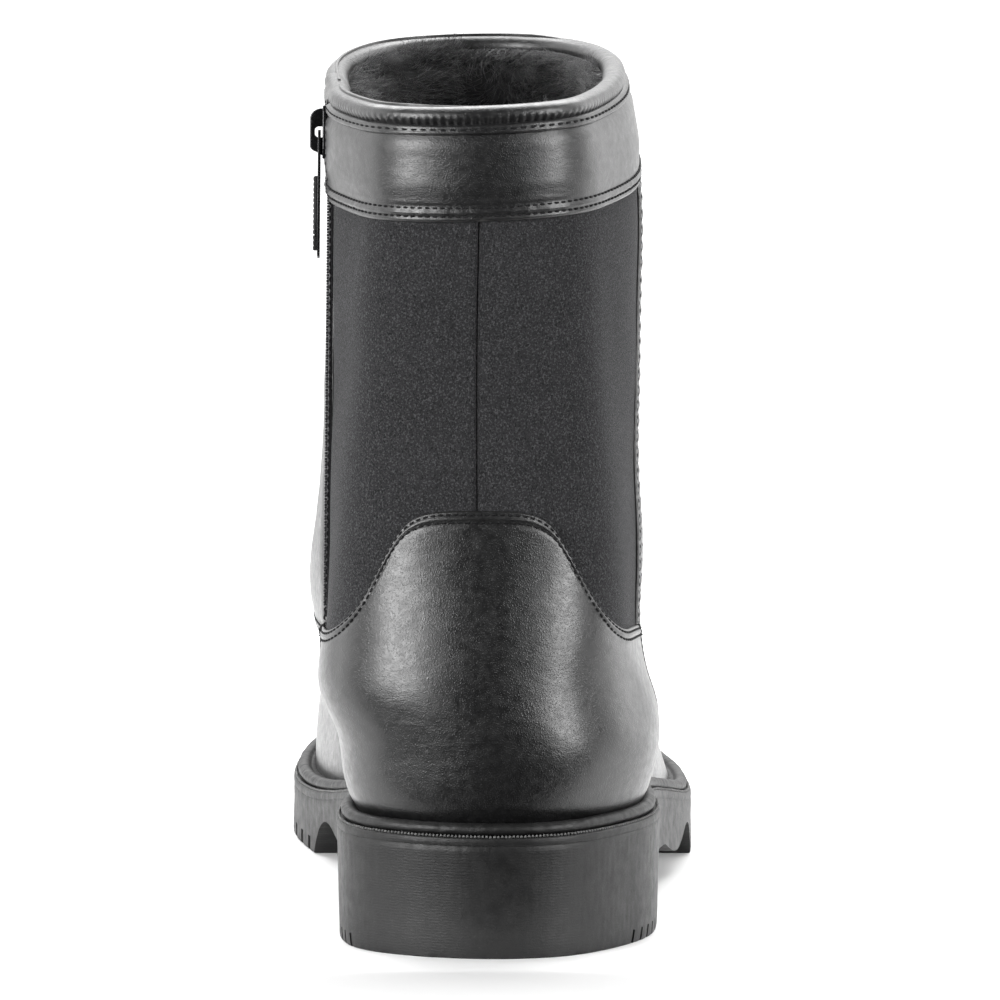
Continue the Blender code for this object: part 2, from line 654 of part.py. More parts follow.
def make_bottom():
    make_outsole()
    ring = RINGS[0]
    start, end, widths = ring[0], ring[2], ring[6]
    ring_between("welt", (WELT_INSET, SOLE_LENGTH - WELT_INSET, narrower(SOLE_WIDTHS, WELT_INSET)),
                 (start - WELT_OFF_UPPER, end + WELT_OFF_UPPER, narrower(widths, -WELT_OFF_UPPER)), *WELT_BAND, RUBBER)
    plate("heel_filler", *FILLER, FILLER_WIDTHS, lambda y: 0 * y + FILLER_FLOOR,
          lambda y: sole_top(y) + LIP - CLEAR, FOAM, 12)
    plate("shank", *SHANK, (SHANK_HALF_WIDTH,) * 7, lambda y: sole_top(y) + LIP - SHANK_THICK - CLEAR,
          lambda y: sole_top(y) + LIP - CLEAR, STEEL, 12)
    plate("insole_board", start + BOARD_INSET, end - BOARD_INSET, narrower(widths, BOARD_INSET),
          lambda y: sole_top(y) + BOARD[0], lambda y: sole_top(y) + BOARD[1], BOARD_FINISH, 30)
    plate("footbed", start + FOOTBED_INSET, end - FOOTBED_INSET, narrower(widths, FOOTBED_INSET),
          lambda y: sole_top(y) + FOOTBED[0], lambda y: sole_top(y) + FOOTBED[1], FLEECE, 30)


# ---------------------------------------------------------------------------------------------------------
# Upper
# ---------------------------------------------------------------------------------------------------------


def gap_in_p(v):
    """Half a seam's gap at the back, as a change of p."""
    return SEAM_GAP / 180 + 0 * np.asarray(v, float)


def zip_rear(half):
    return lambda v: p_beside_zip(v, -half)


def zip_front(half):
    return lambda v: p_beside_zip(v, half) + 2


def make_upper():
    band_low, band_high = (lambda p: v_band(p, 0, SEAM_GAP)), (lambda p: v_band(p, 1, -SEAM_GAP))
    under_band = lambda p: v_band(p, 0, -SEAM_GAP)
    above_foot = lambda p: v_foot_top(p, CURVED_GAP)
    foot_top = lambda p: v_foot_top(p, -CURVED_GAP)
    sole_line = lambda p: 0 * np.asarray(p, float)
    panel("heel_foxing", lambda v: p_foxing_front(v, False, -SEAM_GAP), lambda v: p_foxing_front(v, True, -SEAM_GAP),
          sole_line, foot_top, (37, 8), LEATHER)
    panel("vamp", lambda v: p_foxing_front(v, True, SEAM_GAP), lambda v: p_foxing_front(v, False, SEAM_GAP) + 2,
          sole_line, foot_top, (43, 11), LEATHER)
    panel("front_panel", lambda v: p_side_seam(v, EDGE_STRIP + SEAM_GAP), zip_front(ZIP_GAP), above_foot, under_band,
          (19, 9), LEATHER)
    panel("lateral_edge", lambda v: p_side_seam(v, SEAM_GAP), lambda v: p_side_seam(v, EDGE_STRIP - SEAM_GAP),
          above_foot, under_band, (3, 12), LEATHER, -0.5, SKIN + 0.5)
    panel("shaft_panel_lateral", gap_in_p, lambda v: p_side_seam(v, -SEAM_GAP), above_foot, under_band, (13, 8),
          SHAFT_FABRIC)
    panel("shaft_panel_medial", zip_rear(ZIP_GAP), lambda v: -gap_in_p(v), above_foot, under_band, (13, 8),
          SHAFT_FABRIC)
    panel("collar_band", zip_rear(ZIP_GAP), zip_front(ZIP_GAP), band_low, band_high, (49, 3), LEATHER)


def make_collar_roll():
    top = 0.97
    p = np.linspace(float(p_beside_zip(top, -ROLL_GAP)), float(p_beside_zip(top, ROLL_GAP)) + 2, 49)
    v = UPPER.v_at_height(p, collar_height(p, ROLL_BACK_Z, ROLL_FRONT_Z))
    places = (p, v, np.full(p.shape, ROLL_RADIUS - ROLL_PROUD))
    turn = np.radians(np.linspace(-60, 240, 9))
    outer = [(ROLL_RADIUS * math.cos(a), ROLL_RADIUS * math.sin(a)) for a in turn]
    inner = [((ROLL_RADIUS - ROLL_WALL) * math.cos(a), (ROLL_RADIUS - ROLL_WALL) * math.sin(a)) for a in turn[::-1]]
    sweep("collar_binding", places, outer + inner, LEATHER)
    core = [(ROLL_CORE * math.cos(a), ROLL_CORE * math.sin(a)) for a in np.radians(np.arange(0, 360, 60))]
    sweep("collar_foam", places, core, FOAM)


def make_inside():
    board_edge = 3.4
    foot_start = lambda p: UPPER.v_at_height(p, UPPER.at(p, 0)[..., 2] + board_edge)
    lining_seam = lambda up: lambda p: v_foot_top(p, up - LINING_SEAM_DROP)
    puff_top = float(np.interp(-PUFF_TOP_Y, -UPPER.at(1, np.linspace(0.15, 0.6, 90))[:, 1], np.linspace(0.15, 0.6, 90)))
    panel("heel_counter", lambda v: UPPER.p_at_y(v, COUNTER_FRONT_Y, outer=False),
          lambda v: UPPER.p_at_y(v, COUNTER_FRONT_Y, outer=True), foot_start,
          lambda p: UPPER.v_at_height(p, COUNTER_TOP), (15, 5), STIFF, STIFFENER_DEPTH, STIFFENER)
    panel("toe_puff", lambda v: UPPER.p_at_y(v, PUFF_BACK_Y, outer=True),
          lambda v: UPPER.p_at_y(v, PUFF_BACK_Y, outer=False) + 2, foot_start,
          lambda p: puff_top + 0 * np.asarray(p, float), (17, 6), STIFF, STIFFENER_DEPTH, STIFFENER)
    panel("foot_lining", gap_in_p, lambda v: 2 - gap_in_p(v), foot_start, lining_seam(-LINING_SEAM_GAP), (41, 9), FLEECE,
          LINING_DEPTH, FOOT_FLEECE)
    panel("fur_lining", zip_rear(LINING_GAP), zip_front(LINING_GAP), lining_seam(LINING_SEAM_GAP),
          lambda p: v_band(p, 1, -1.5), (37, 8), FUR, LINING_DEPTH, SHAFT_FUR)


# ---------------------------------------------------------------------------------------------------------
# Zip
# ---------------------------------------------------------------------------------------------------------


def make_tapes():
    top = lambda p: UPPER.v_at_height(p, TEETH_TOP_Z - 4.5)
    bottom = lambda p: UPPER.v_at_height(p, TEETH_BOTTOM_Z - 6)
    near, far = TAPE
    for side, name in ((-1, "zipper_tape_rear"), (1, "zipper_tape_front")):
        edges = sorted((side * near, side * far), reverse=True)
        low, high = (lambda v, a=edges[0]: p_beside_zip(v, a)), (lambda v, a=edges[1]: p_beside_zip(v, a))
        panel(name, low, high, bottom, top, (3, 14), TAPE_FINISH, TAPE_DEPTH, TAPE_THICK)
    panel("zipper_guard", lambda v: p_beside_zip(v, GUARD_REACH), lambda v: p_beside_zip(v, -GUARD_REACH), bottom,
          top, (5, 14), LEATHER, GUARD_DEPTH, GUARD_THICK)


def make_teeth():
    """Two rows of teeth whose meshing edges follow one zigzag, a clearance apart."""
    length = TEETH_TOP_Z - TEETH_BOTTOM_Z
    count = int(length / TOOTH_PITCH) * 2
    zigzag = [(TOOTH_SWING * (-1) ** i, i * TOOTH_PITCH / 2) for i in range(count + 1)]
    for side, name in ((-1, "zipper_teeth_rear"), (1, "zipper_teeth_front")):
        edge = [(x + side * TOOTH_CLEARANCE, y) for x, y in zigzag]
        back = [(side * TEETH_HALF_WIDTH, edge[-1][1]), (side * TEETH_HALF_WIDTH, 0)]
        row = prism(name, edge + back, *TEETH_OUT, TEETH)
        place_on_zip(row, TEETH_BOTTOM_Z)
        end = TEETH_HALF_WIDTH * side
        stop = prism(f"zipper_top_stop_{name[13:]}", rectangle(*sorted((0.25 * side, end)), 0, STOP_HEIGHT),
                     TEETH_OUT[0], TEETH_OUT[1] + 0.4, TEETH)
        place_on_zip(stop, TEETH_TOP_Z + CLEAR)
    stop = prism("zipper_bottom_stop", rectangle(-TEETH_HALF_WIDTH, TEETH_HALF_WIDTH, 0, STOP_HEIGHT),
                 TEETH_OUT[0], TEETH_OUT[1] + 0.4, TEETH)
    place_on_zip(stop, TEETH_BOTTOM_Z - STOP_HEIGHT - CLEAR - TOOTH_CLEARANCE)


def make_slider():
    low, high = SLIDER_PLATE_OUT
    inner, outer = FLANGE
    channel = ((-SLIDER_HALF_WIDTH, low), (-outer, low), (-outer, FLANGE_FOOT), (-inner, FLANGE_FOOT), (-inner, low),
               (inner, low), (inner, FLANGE_FOOT), (outer, FLANGE_FOOT), (outer, low), (SLIDER_HALF_WIDTH, low),
               (SLIDER_HALF_WIDTH - 0.8, high), (0.8 - SLIDER_HALF_WIDTH, high))
    half = SLIDER_LENGTH / 2
    slider = prism("zipper_slider", channel, -half, half, SLIDER_METAL, "xz")
    bridge = BRIDGE_OUTSIDE + BRIDGE_INSIDE[::-1]
    arch = prism("bridge_cutter", bridge, -BRIDGE_WIDTH / 2, BRIDGE_WIDTH / 2, SLIDER_METAL, "yz", CUTTERS)
    for piece in (slider, arch):
        place_on_zip(piece, SLIDER_Z)
    cut(slider, arch, "UNION")


def make_puller():
    half, end = PULLER_HALF_WIDTH, -PULLER_LENGTH
    tab = ((-half, -1), (-half + 1, PULLER_BAR), (half - 1, PULLER_BAR), (half, -1), (half, end + 2), (half - 1.4, end),
           (-half + 1.4, end), (-half, end + 2))
    puller = prism("zipper_puller", tab, -PULLER_THICK / 2, PULLER_THICK / 2, SLIDER_METAL)
    width, low = PULLER_WINDOW
    window = prism("window_cutter", rectangle(-width, width, -low, -PULLER_BAR), -2, 2, SLIDER_METAL, "xy", CUTTERS)
    start, finish = GRIP_SPAN
    step = (finish - start) / GRIP_RIBS
    face, foot = PULLER_THICK / 2 + 1.15, PULLER_THICK / 2 + 0.25
    ribs = [(start, foot)]
    for i in range(GRIP_RIBS):
        ribs += [(start + i * step, face - 0.3), (start + (i + 0.3) * step, face), (start + (i + 0.7) * step, face)]
    ribs += [(finish, face - 0.3), (finish, foot)]
    grip = prism("puller_grip", ribs, -half + 0.5, half - 0.5, RUBBER, "yz")
    for piece in (puller, window, grip):
        place_on_zip(piece, SLIDER_Z, PIVOT_OUT)
    cut(puller, window)


make_bottom()
make_upper()
make_collar_roll()
make_inside()
make_tapes()
make_teeth()
make_slider()
make_puller()
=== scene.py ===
"""Looks of the winter boot: fine surfaces, seams, stitches, zip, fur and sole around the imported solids.

The upper is one surface, given by a short table of rings from the sole to the collar. Every piece of leather,
fabric and lining is a patch of it between seams. Lengths are in millimetres in the last's frame (x from the
middle of the heel, y forward from the back of the sole, z up), and to_row() turns them into the row frame.
"""

import math

import bmesh
import bpy
import numpy as np
from mathutils import Matrix, Vector


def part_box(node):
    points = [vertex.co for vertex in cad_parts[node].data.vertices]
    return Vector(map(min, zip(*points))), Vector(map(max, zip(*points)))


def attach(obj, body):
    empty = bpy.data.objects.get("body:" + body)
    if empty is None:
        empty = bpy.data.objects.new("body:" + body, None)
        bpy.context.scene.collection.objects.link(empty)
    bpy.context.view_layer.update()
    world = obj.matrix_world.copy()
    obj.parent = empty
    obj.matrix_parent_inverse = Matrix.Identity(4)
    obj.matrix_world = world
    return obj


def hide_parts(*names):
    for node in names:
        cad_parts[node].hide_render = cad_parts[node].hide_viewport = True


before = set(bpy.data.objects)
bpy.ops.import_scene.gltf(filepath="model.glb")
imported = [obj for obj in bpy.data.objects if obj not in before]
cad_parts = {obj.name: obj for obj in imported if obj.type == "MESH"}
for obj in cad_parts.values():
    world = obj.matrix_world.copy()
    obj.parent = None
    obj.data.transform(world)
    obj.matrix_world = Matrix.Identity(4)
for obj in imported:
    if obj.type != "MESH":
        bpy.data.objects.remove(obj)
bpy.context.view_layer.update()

MM = 0.001
SOLE_LOW, SOLE_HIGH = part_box("outsole")
SOLE_LENGTH = (SOLE_HIGH.y - SOLE_LOW.y) / MM

# ---------------------------------------------------------------------------------------------------------
# The boot's form: the same driving dimensions as the solids have
# ---------------------------------------------------------------------------------------------------------

HEEL_BREAST = 88.0
ARCH_END = 150.0
ARCH_RISES_TO = 178.0  # the sole's edge stays clear of the floor as far forward as this
ARCH_HEIGHT = 11.0
TREAD_DEPTH = 4.0
WALL_TAPER = (0.8, -0.2)
SOLE_TOP = ((0, 33), (60, 33), (100, 30.6), (140, 24.4), (175, 19.2), (205, 17.5), (240, 18.2), (275, 21),
            (305, 25.5))
TOE_SPRING_FROM = 235.0
TOE_SPRING = 9.0
MIDDLE = ((0, 0), (13, -2.8), (30, -1.3), (48, 0.5), (80, 2.2), (115, 3.2), (150, 3.5), (175, 1.8),
          (212, -1.6), (250, -5), (282, -7.5), (305, -8.5))
STATION_STEP = math.pi / 8
SOLE_WIDTHS = (29, 42.1, 39.6, 47.6, 55, 47.4, 27.5)
# (back y, back z, front y, front z, shift to +x, more shift over the forefoot, half-widths at the stations)
RINGS = (
    (6.5, 33.4, 298.5, 25.4, 0.3, 0, (26.5, 36.6, 33.8, 40.4, 48.8, 43, 25.5)),
    (4.0, 42, 300.5, 35.5, 0.2, -1.3, (28.5, 39.6, 36, 40.4, 46.9, 43, 26.5)),
    (2.6, 53, 298, 47, 0.2, -2.1, (29.5, 41.2, 38.8, 40, 44.6, 42.2, 26)),
    (3.0, 66, 287, 58, -4.0, -1.6, (30, 42.2, 40.6, 39.6, 42, 38, 23.5)),
    (5.0, 80, 265, 66.5, -6.6, 0, (29.5, 41.8, 43.2, 40.6, 38.5, 31.5, 19)),
    (8.5, 95, 236, 74.5, -6.6, 0, (28.5, 40.8, 44.6, 42, 35.5, 26.5, 15.5)),
    (11.3, 111, 205, 86, -5.9, 0, (27, 39, 43.6, 42, 34, 24, 13.5)),
    (12.8, 129, 178, 104, -5.2, 0, (25, 36.6, 41.4, 41, 35, 25.5, 14)),
    (13.2, 149, 159, 130, -4.5, 0, (23.5, 34.4, 40.2, 40.8, 37, 28.5, 16.5)),
    (12.6, 170, 148, 162, -3.8, 0, (22.3, 33, 39.3, 40.7, 38, 30.5, 18)),
    (11.2, 193, 141.5, 199, -3.5, 0, (20.8, 31.7, 38.6, 40.2, 38, 30.5, 18)),
    (10.0, 219, 139, 231, -7.6, 0, (20, 31, 38, 40, 38, 31, 18.5)),
)
FOREFOOT = (105.0, 195.0)
BACK_SEAM_X = -4.0
BACK_BLEND = 45.0
FOOT_RINGS = 8
ZIP_TOP = (-43.8, 62, 219)
ZIP_BOTTOM = (-45.2, 53, 77)
ZIP_PULL_IN = 24.0
PULL_FADE = 24.0
ZIP_SIDE_Y = 75.0  # a row's height beside the zip is read here

# Seams
FOOT_TOP = ((0, 114.7), (10, 114.4), (16, 112.8), (20, 109.6), (25.5, 101), (31, 92.5), (38, 86), (46, 82.4),
            (57, 80.9), (80, 79))
THROAT_RISE = 28.5
THROAT_REACH = 88.0
FOXING_FRONT = ((36.0, 78.0), (82.0, 60.0))  # as (z, y)
SIDE_SEAM_Y = (68.0, 55.0)
EDGE_STRIP = 7.0
BAND_BACK = (190.0, 213.0)
BAND_FRONT = (201.0, 223.4)
COLLAR_TILT = 1.6
ROLL_BACK_Z = 216.2
ROLL_FRONT_Z = 227.0
ROLL_RADIUS = 3.0
LIP = -1.4
ZIP_GAP = 3.8
TEETH_TOP_Z = 216.3
TEETH_BOTTOM_Z = 84.6
SLIDER_Z = 209.0
PIVOT_OUT = 2.4


def spline(knots, values, at, flat_ends=False):
    """Cubic spline through values, one for each knot along the first axis, read at the places `at`."""
    knots, values = np.asarray(knots, float), np.asarray(values, float)
    count, step = len(knots), np.diff(np.asarray(knots, float))
    slope = (values[1:] - values[:-1]) / step.reshape(-1, *[1] * (values.ndim - 1))
    system, right = np.zeros((count, count)), np.zeros_like(values)
    for i in range(1, count - 1):
        system[i, i - 1 : i + 2] = step[i - 1], 2 * (step[i - 1] + step[i]), step[i]
        right[i] = 6 * (slope[i] - slope[i - 1])
    if flat_ends:
        system[0, :2], right[0] = (2 * step[0], step[0]), 6 * slope[0]
        system[-1, -2:], right[-1] = (step[-1], 2 * step[-1]), -6 * slope[-1]
    else:
        system[0, 0] = system[-1, -1] = 1
    bend = np.linalg.solve(system, right.reshape(count, -1)).reshape(values.shape)
    at = np.clip(np.asarray(at, float), knots[0], knots[-1])
    k = np.clip(np.searchsorted(knots, at) - 1, 0, count - 2)
    shape = (*at.shape, *[1] * (values.ndim - 1))
    h, left, rest = (x.reshape(shape) for x in (step[k], at - knots[k], knots[k + 1] - at))
    curved = (bend[k] * rest**3 + bend[k + 1] * left**3) / (6 * h)
    from_left = (values[k] / h - bend[k] * h / 6) * rest
    from_right = (values[k + 1] / h - bend[k + 1] * h / 6) * left
    return curved + from_left + from_right


def through(points, at):
    where, value = zip(*points)
    return spline(where, value, at)


def smooth(x):
    x = np.clip(x, 0, 1)
    return x * x * (3 - 2 * x)


def unit(vectors):
    return vectors / np.linalg.norm(vectors, axis=-1, keepdims=True)


def run_along(points):
    """The distance of each point of a line from its start, along the line."""
    return np.concatenate([[0], np.cumsum(np.linalg.norm(np.diff(points, axis=0), axis=1))])


def sole_top(y):
    return through(SOLE_TOP, y)


def half_width(widths, t):
    """Half-width of a plan outline at station angle t, round at both ends."""
    stations = STATION_STEP * np.arange(9)
    inner = np.asarray(widths, float) / np.sin(stations[1:-1])
    back = inner[0] + (inner[0] - inner[1]) / 3
    front = inner[-1] + (inner[-1] - inner[-2]) / 3
    return spline(stations, [back, *inner, front], t, flat_ends=True) * np.sin(t)


OUTLINE_T = np.linspace(0, math.pi, 721)
OUTLINE_MIDDLE = through(MIDDLE, SOLE_LENGTH * (1 - np.cos(OUTLINE_T)) / 2)
OUTLINE_HALF = half_width(SOLE_WIDTHS, OUTLINE_T)
CENTRE_X = ((OUTLINE_MIDDLE + OUTLINE_HALF).max() + (OUTLINE_MIDDLE - OUTLINE_HALF).min()) / 2
CENTRE = np.array((CENTRE_X, SOLE_LENGTH / 2, 0))


def to_row(points):
    """Last's frame in millimetres to row frame in metres."""
    return (np.asarray(points, float) - CENTRE) * MM


class Upper:
    """The upper's outer surface. A point on it has p, how far round it is: 0 at the back, 1 at the front by
    the outer side, 2 at the back again by the inner side; and v, from 0 at the sole to 1 at the collar."""

    ROUND, UP = 720, 480

    def __init__(self):
        t = np.linspace(0, math.pi, 600)
        rings = []
        for index, (y0, z0, y1, z1, shift, lean, widths) in enumerate(RINGS):
            along = (1 - np.cos(t)) / 2
            y = y0 + (y1 - y0) * along
            follow = max(0.0, 1 - index / FOOT_RINGS)
            dip = sole_top(y) - sole_top(y0) - (sole_top(y1) - sole_top(y0)) * along
            z = z0 + (z1 - z0) * along + follow * dip
            behind = 1 - smooth((y - y0) / BACK_BLEND)
            to_seam = (max(shift, BACK_SEAM_X) - shift) * behind
            middle = through(MIDDLE, y) * max(0.35, follow) + shift + to_seam
            middle = middle + lean * smooth((y - FOREFOOT[0]) / (FOREFOOT[1] - FOREFOOT[0]))
            width = half_width(widths, t)
            halves = []
            for side in (1, -1):
                points = np.stack([middle + side * width, y, z], axis=1)
                run = run_along(points)
                even = np.linspace(0, run[-1], self.ROUND // 2 + 1)
                halves.append(np.stack([np.interp(even, run, points[:, i]) for i in range(3)], axis=1))
            rings.append(np.concatenate([halves[0], halves[1][-2:0:-1]]))
        rings = np.array(rings)
        gaps = np.linalg.norm(np.diff(rings, axis=0), axis=2).mean(axis=1)
        heights = np.concatenate([[0], np.cumsum(gaps)]) / gaps.sum()
        self.points = spline(heights, rings, np.linspace(0, 1, self.UP + 1))
        self._onto_zip_line()
        closed = np.concatenate([self.points[:, -1:], self.points, self.points[:, :1]], axis=1)
        normal = np.cross((closed[:, 2:] - closed[:, :-2]) / 2, np.gradient(self.points, axis=0))
        self.normals = unit(normal)
        self.lengths = np.linalg.norm(self.points - np.roll(self.points, -1, axis=1), axis=2).sum(axis=1)

    def _onto_zip_line(self):
        """Draws the inner side onto the zip's straight line, less and less away from it."""
        top, bottom = np.array(ZIP_TOP), np.array(ZIP_BOTTOM)
        inner = slice(self.ROUND // 2 + 1, self.ROUND)
        for row in range(self.UP + 1):
            side = self.points[row, inner]
            x, y, z = side[np.argsort(side[:, 1])].T
            height = np.interp(ZIP_SIDE_Y, y, z)
            share = (height - bottom[2]) / (top[2] - bottom[2])
            line = bottom + (top - bottom) * np.clip(share, -0.2, 1.2)
            off = np.interp(line[1], y, x) - line[0]
            near = np.exp(-(((side[:, 1] - line[1]) / ZIP_PULL_IN) ** 2))
            side[:, 0] -= off * smooth((height - bottom[2] + PULL_FADE) / PULL_FADE) * near

    def _read(self, table, p, v):
        p, v = np.broadcast_arrays(np.asarray(p, float), np.asarray(v, float))
        column = np.mod(p, 2) / 2 * self.ROUND
        row = np.clip(v, 0, 1) * self.UP
        c, r = np.floor(column).astype(int), np.minimum(np.floor(row).astype(int), self.UP - 1)
        fc, fr = (column - c)[..., None], (row - r)[..., None]
        c, n = c % self.ROUND, (c + 1) % self.ROUND
        low = table[r, c] * (1 - fc) + table[r, n] * fc
        high = table[r + 1, c] * (1 - fc) + table[r + 1, n] * fc
        return low * (1 - fr) + high * fr

    def normal(self, p, v):
        return unit(self._read(self.normals, p, v))

    def at(self, p, v, depth=0.0):
        return self._read(self.points, p, v) - self.normal(p, v) * np.asarray(depth)[..., None]

    def v_at_height(self, p, z):
        p, z = np.broadcast_arrays(np.asarray(p, float), np.asarray(z, float))
        levels = np.linspace(0, 1, 241)
        columns = self._read(self.points, p.ravel()[:, None], levels[None, :])[..., 2]
        return np.array([np.interp(h, c, levels) for h, c in zip(z.ravel(), columns)]).reshape(p.shape)

    def p_at_y(self, v, y, outer):
        v, y = np.broadcast_arrays(np.asarray(v, float), np.asarray(y, float))
        rounds = np.linspace(0, 1, 241)
        rows = self._read(self.points, (rounds if outer else -rounds)[None, :], v.ravel()[:, None])[..., 1]
        found = np.array([np.interp(w, row, rounds) for w, row in zip(y.ravel(), rows)]).reshape(v.shape)
        return found if outer else -found

    def distances(self, p, v):
        """Distances along the row v from the back seam and from the front."""
        from_front = np.abs(np.mod(np.asarray(p, float), 2) - 1)
        half = np.interp(np.asarray(v, float) * self.UP, np.arange(self.UP + 1), self.lengths) / 2
        return (1 - from_front) * half, from_front * half


UPPER = Upper()


# ---------------------------------------------------------------------------------------------------------
# Seams. Each is a function that gives p for a v, or v for a p
# ---------------------------------------------------------------------------------------------------------

def zip_point(z):
    share = (z - ZIP_BOTTOM[2]) / (ZIP_TOP[2] - ZIP_BOTTOM[2])
    x, y = (b + (t - b) * share for b, t in zip(ZIP_BOTTOM[:2], ZIP_TOP[:2]))
    return x, y, z


def fixed(value):
    return lambda others: value + 0 * np.asarray(others, float)


def level(z):
    return lambda p: UPPER.v_at_height(p, z)


def zip_frame():
    """Unit vectors across the zip (forwards), up its line, and out of the boot."""
    up = np.subtract(ZIP_TOP, ZIP_BOTTOM)
    up /= np.linalg.norm(up)
    out = np.array((-1.0, 0, 0)) + up * up[0]
    out /= np.linalg.norm(out)
    return np.cross(out, up), up, out


def p_beside_zip(v, across):
    p = np.full(np.shape(v), -0.5)
    for _ in range(4):
        p = UPPER.p_at_y(v, zip_point(UPPER.at(p, v)[..., 2])[1] + across, outer=False)
    return p


def zip_edge(across, turns=0):
    return lambda v: p_beside_zip(v, across) + turns


def side_seam(ahead):
    top, bottom = SIDE_SEAM_Y
    return lambda v: UPPER.p_at_y(v, bottom + (top - bottom) * np.asarray(v, float) + ahead, outer=True)


def foxing_front(outer, ahead, turns=0):
    (z0, y0), (z1, y1) = FOXING_FRONT

    def seam(v):
        p = np.full(np.shape(v), 0.35 if outer else -0.35)
        for _ in range(4):
            rise = (UPPER.at(p, v)[..., 2] - z0) / (z1 - z0)
            p = UPPER.p_at_y(v, y0 + (y1 - y0) * rise + ahead, outer)
        return p + turns

    return seam


def foot_top(up):
    """Top of the foxing and the vamp, `up` millimetres higher."""

    def seam(p):
        v = np.full(np.shape(p), 0.5)
        for _ in range(6):
            from_back, from_front = UPPER.distances(p, v)
            height = through(FOOT_TOP, from_back) + THROAT_RISE * smooth(1 - from_front / THROAT_REACH)
            v = UPPER.v_at_height(p, height + up)
        return v

    return seam


def collar_level(back, front, up):
    def seam(p):
        turn = math.pi * np.asarray(p, float)
        height = back + (front - back) * (1 - np.cos(turn)) / 2 + COLLAR_TILT * np.sin(turn)
        return UPPER.v_at_height(p, height + up)

    return seam


def band_edge(edge, up):
    return collar_level(BAND_BACK[edge], BAND_FRONT[edge], up)


def roll_level(up):
    return collar_level(ROLL_BACK_Z, ROLL_FRONT_Z, up)


def sole_line(up):
    return lambda p: UPPER.v_at_height(p, UPPER.at(p, 0)[..., 2] + up)


# ---------------------------------------------------------------------------------------------------------
# Small tools: noise, meshes, rows of stitches
# ---------------------------------------------------------------------------------------------------------

RANDOM = np.random.default_rng(7)
PRIMES = np.array((73856093, 19349663, 83492791))
MIXER = 1274126177
LEVELS = 100003


def noise(points, size, seed=0):
    """Smooth value noise from -1 to 1, with lumps of about `size`."""
    q = np.asarray(points, float) / size + seed * 17.31
    cell = np.floor(q).astype(np.int64)
    f = q - cell
    f = f * f * (3 - 2 * f)
    total = 0.0
    for corner in range(8):
        bits = np.array([(corner >> i) & 1 for i in range(3)])
        mixed = np.bitwise_xor.reduce((cell + bits) * PRIMES, axis=-1)
        mixed = (mixed ^ (mixed >> 13)) * MIXER & 0x7FFFFFFF
        weight = np.where(bits, f, 1 - f).prod(axis=-1)
        total = total + weight * ((mixed ^ (mixed >> 16)) % LEVELS / (LEVELS // 2) - 1)
    return total


def add_mesh(name, points, faces, finish, body="boot", replaces=()):
    """A new piece from points in the last's frame, riding on a body."""
    mesh = bpy.data.meshes.new(name)
    mesh.from_pydata(to_row(points).tolist(), [], [tuple(int(i) for i in f) for f in faces])
    mesh.update()
    mesh.shade_smooth()
    made = bpy.data.objects.new(name, mesh)
    bpy.context.scene.collection.objects.link(made)
    made.data.materials.append(finish)
    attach(made, body)
    if replaces:
        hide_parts(*replaces)
    return made


TURNED = (0, 3, 2, 1)  # a face's corners, read the other way round


def grid_faces(rows, columns, ring=False, tube=False):
    """Faces of a grid of points. A ring joins the last column to the first, and a tube the last row too."""
    index = np.arange(rows * columns).reshape(rows, columns)
    if tube:
        index = np.concatenate([index, index[:1]])
    if ring:
        index = np.concatenate([index, index[:, :1]], axis=1)
    quads = np.stack([index[:-1, :-1], index[:-1, 1:], index[1:, 1:], index[1:, :-1]], axis=-1)
    return quads.reshape(-1, 4)


EDGE_LINES = (0, 0.15, 0.35, 0.6, 0.9, 1.3, 1.8, 2.4, 3.1)  # grid lines near a border, in millimetres from it


def grid_places(length, spacing):
    """Places from 0 to 1 along a length, close together near both ends."""
    inner = np.linspace(EDGE_LINES[-1], length - EDGE_LINES[-1], max(3, int((length - 6) / spacing)))
    places = np.concatenate([EDGE_LINES[:-1], inner, length - np.array(EDGE_LINES[-2::-1])])
    return places / length


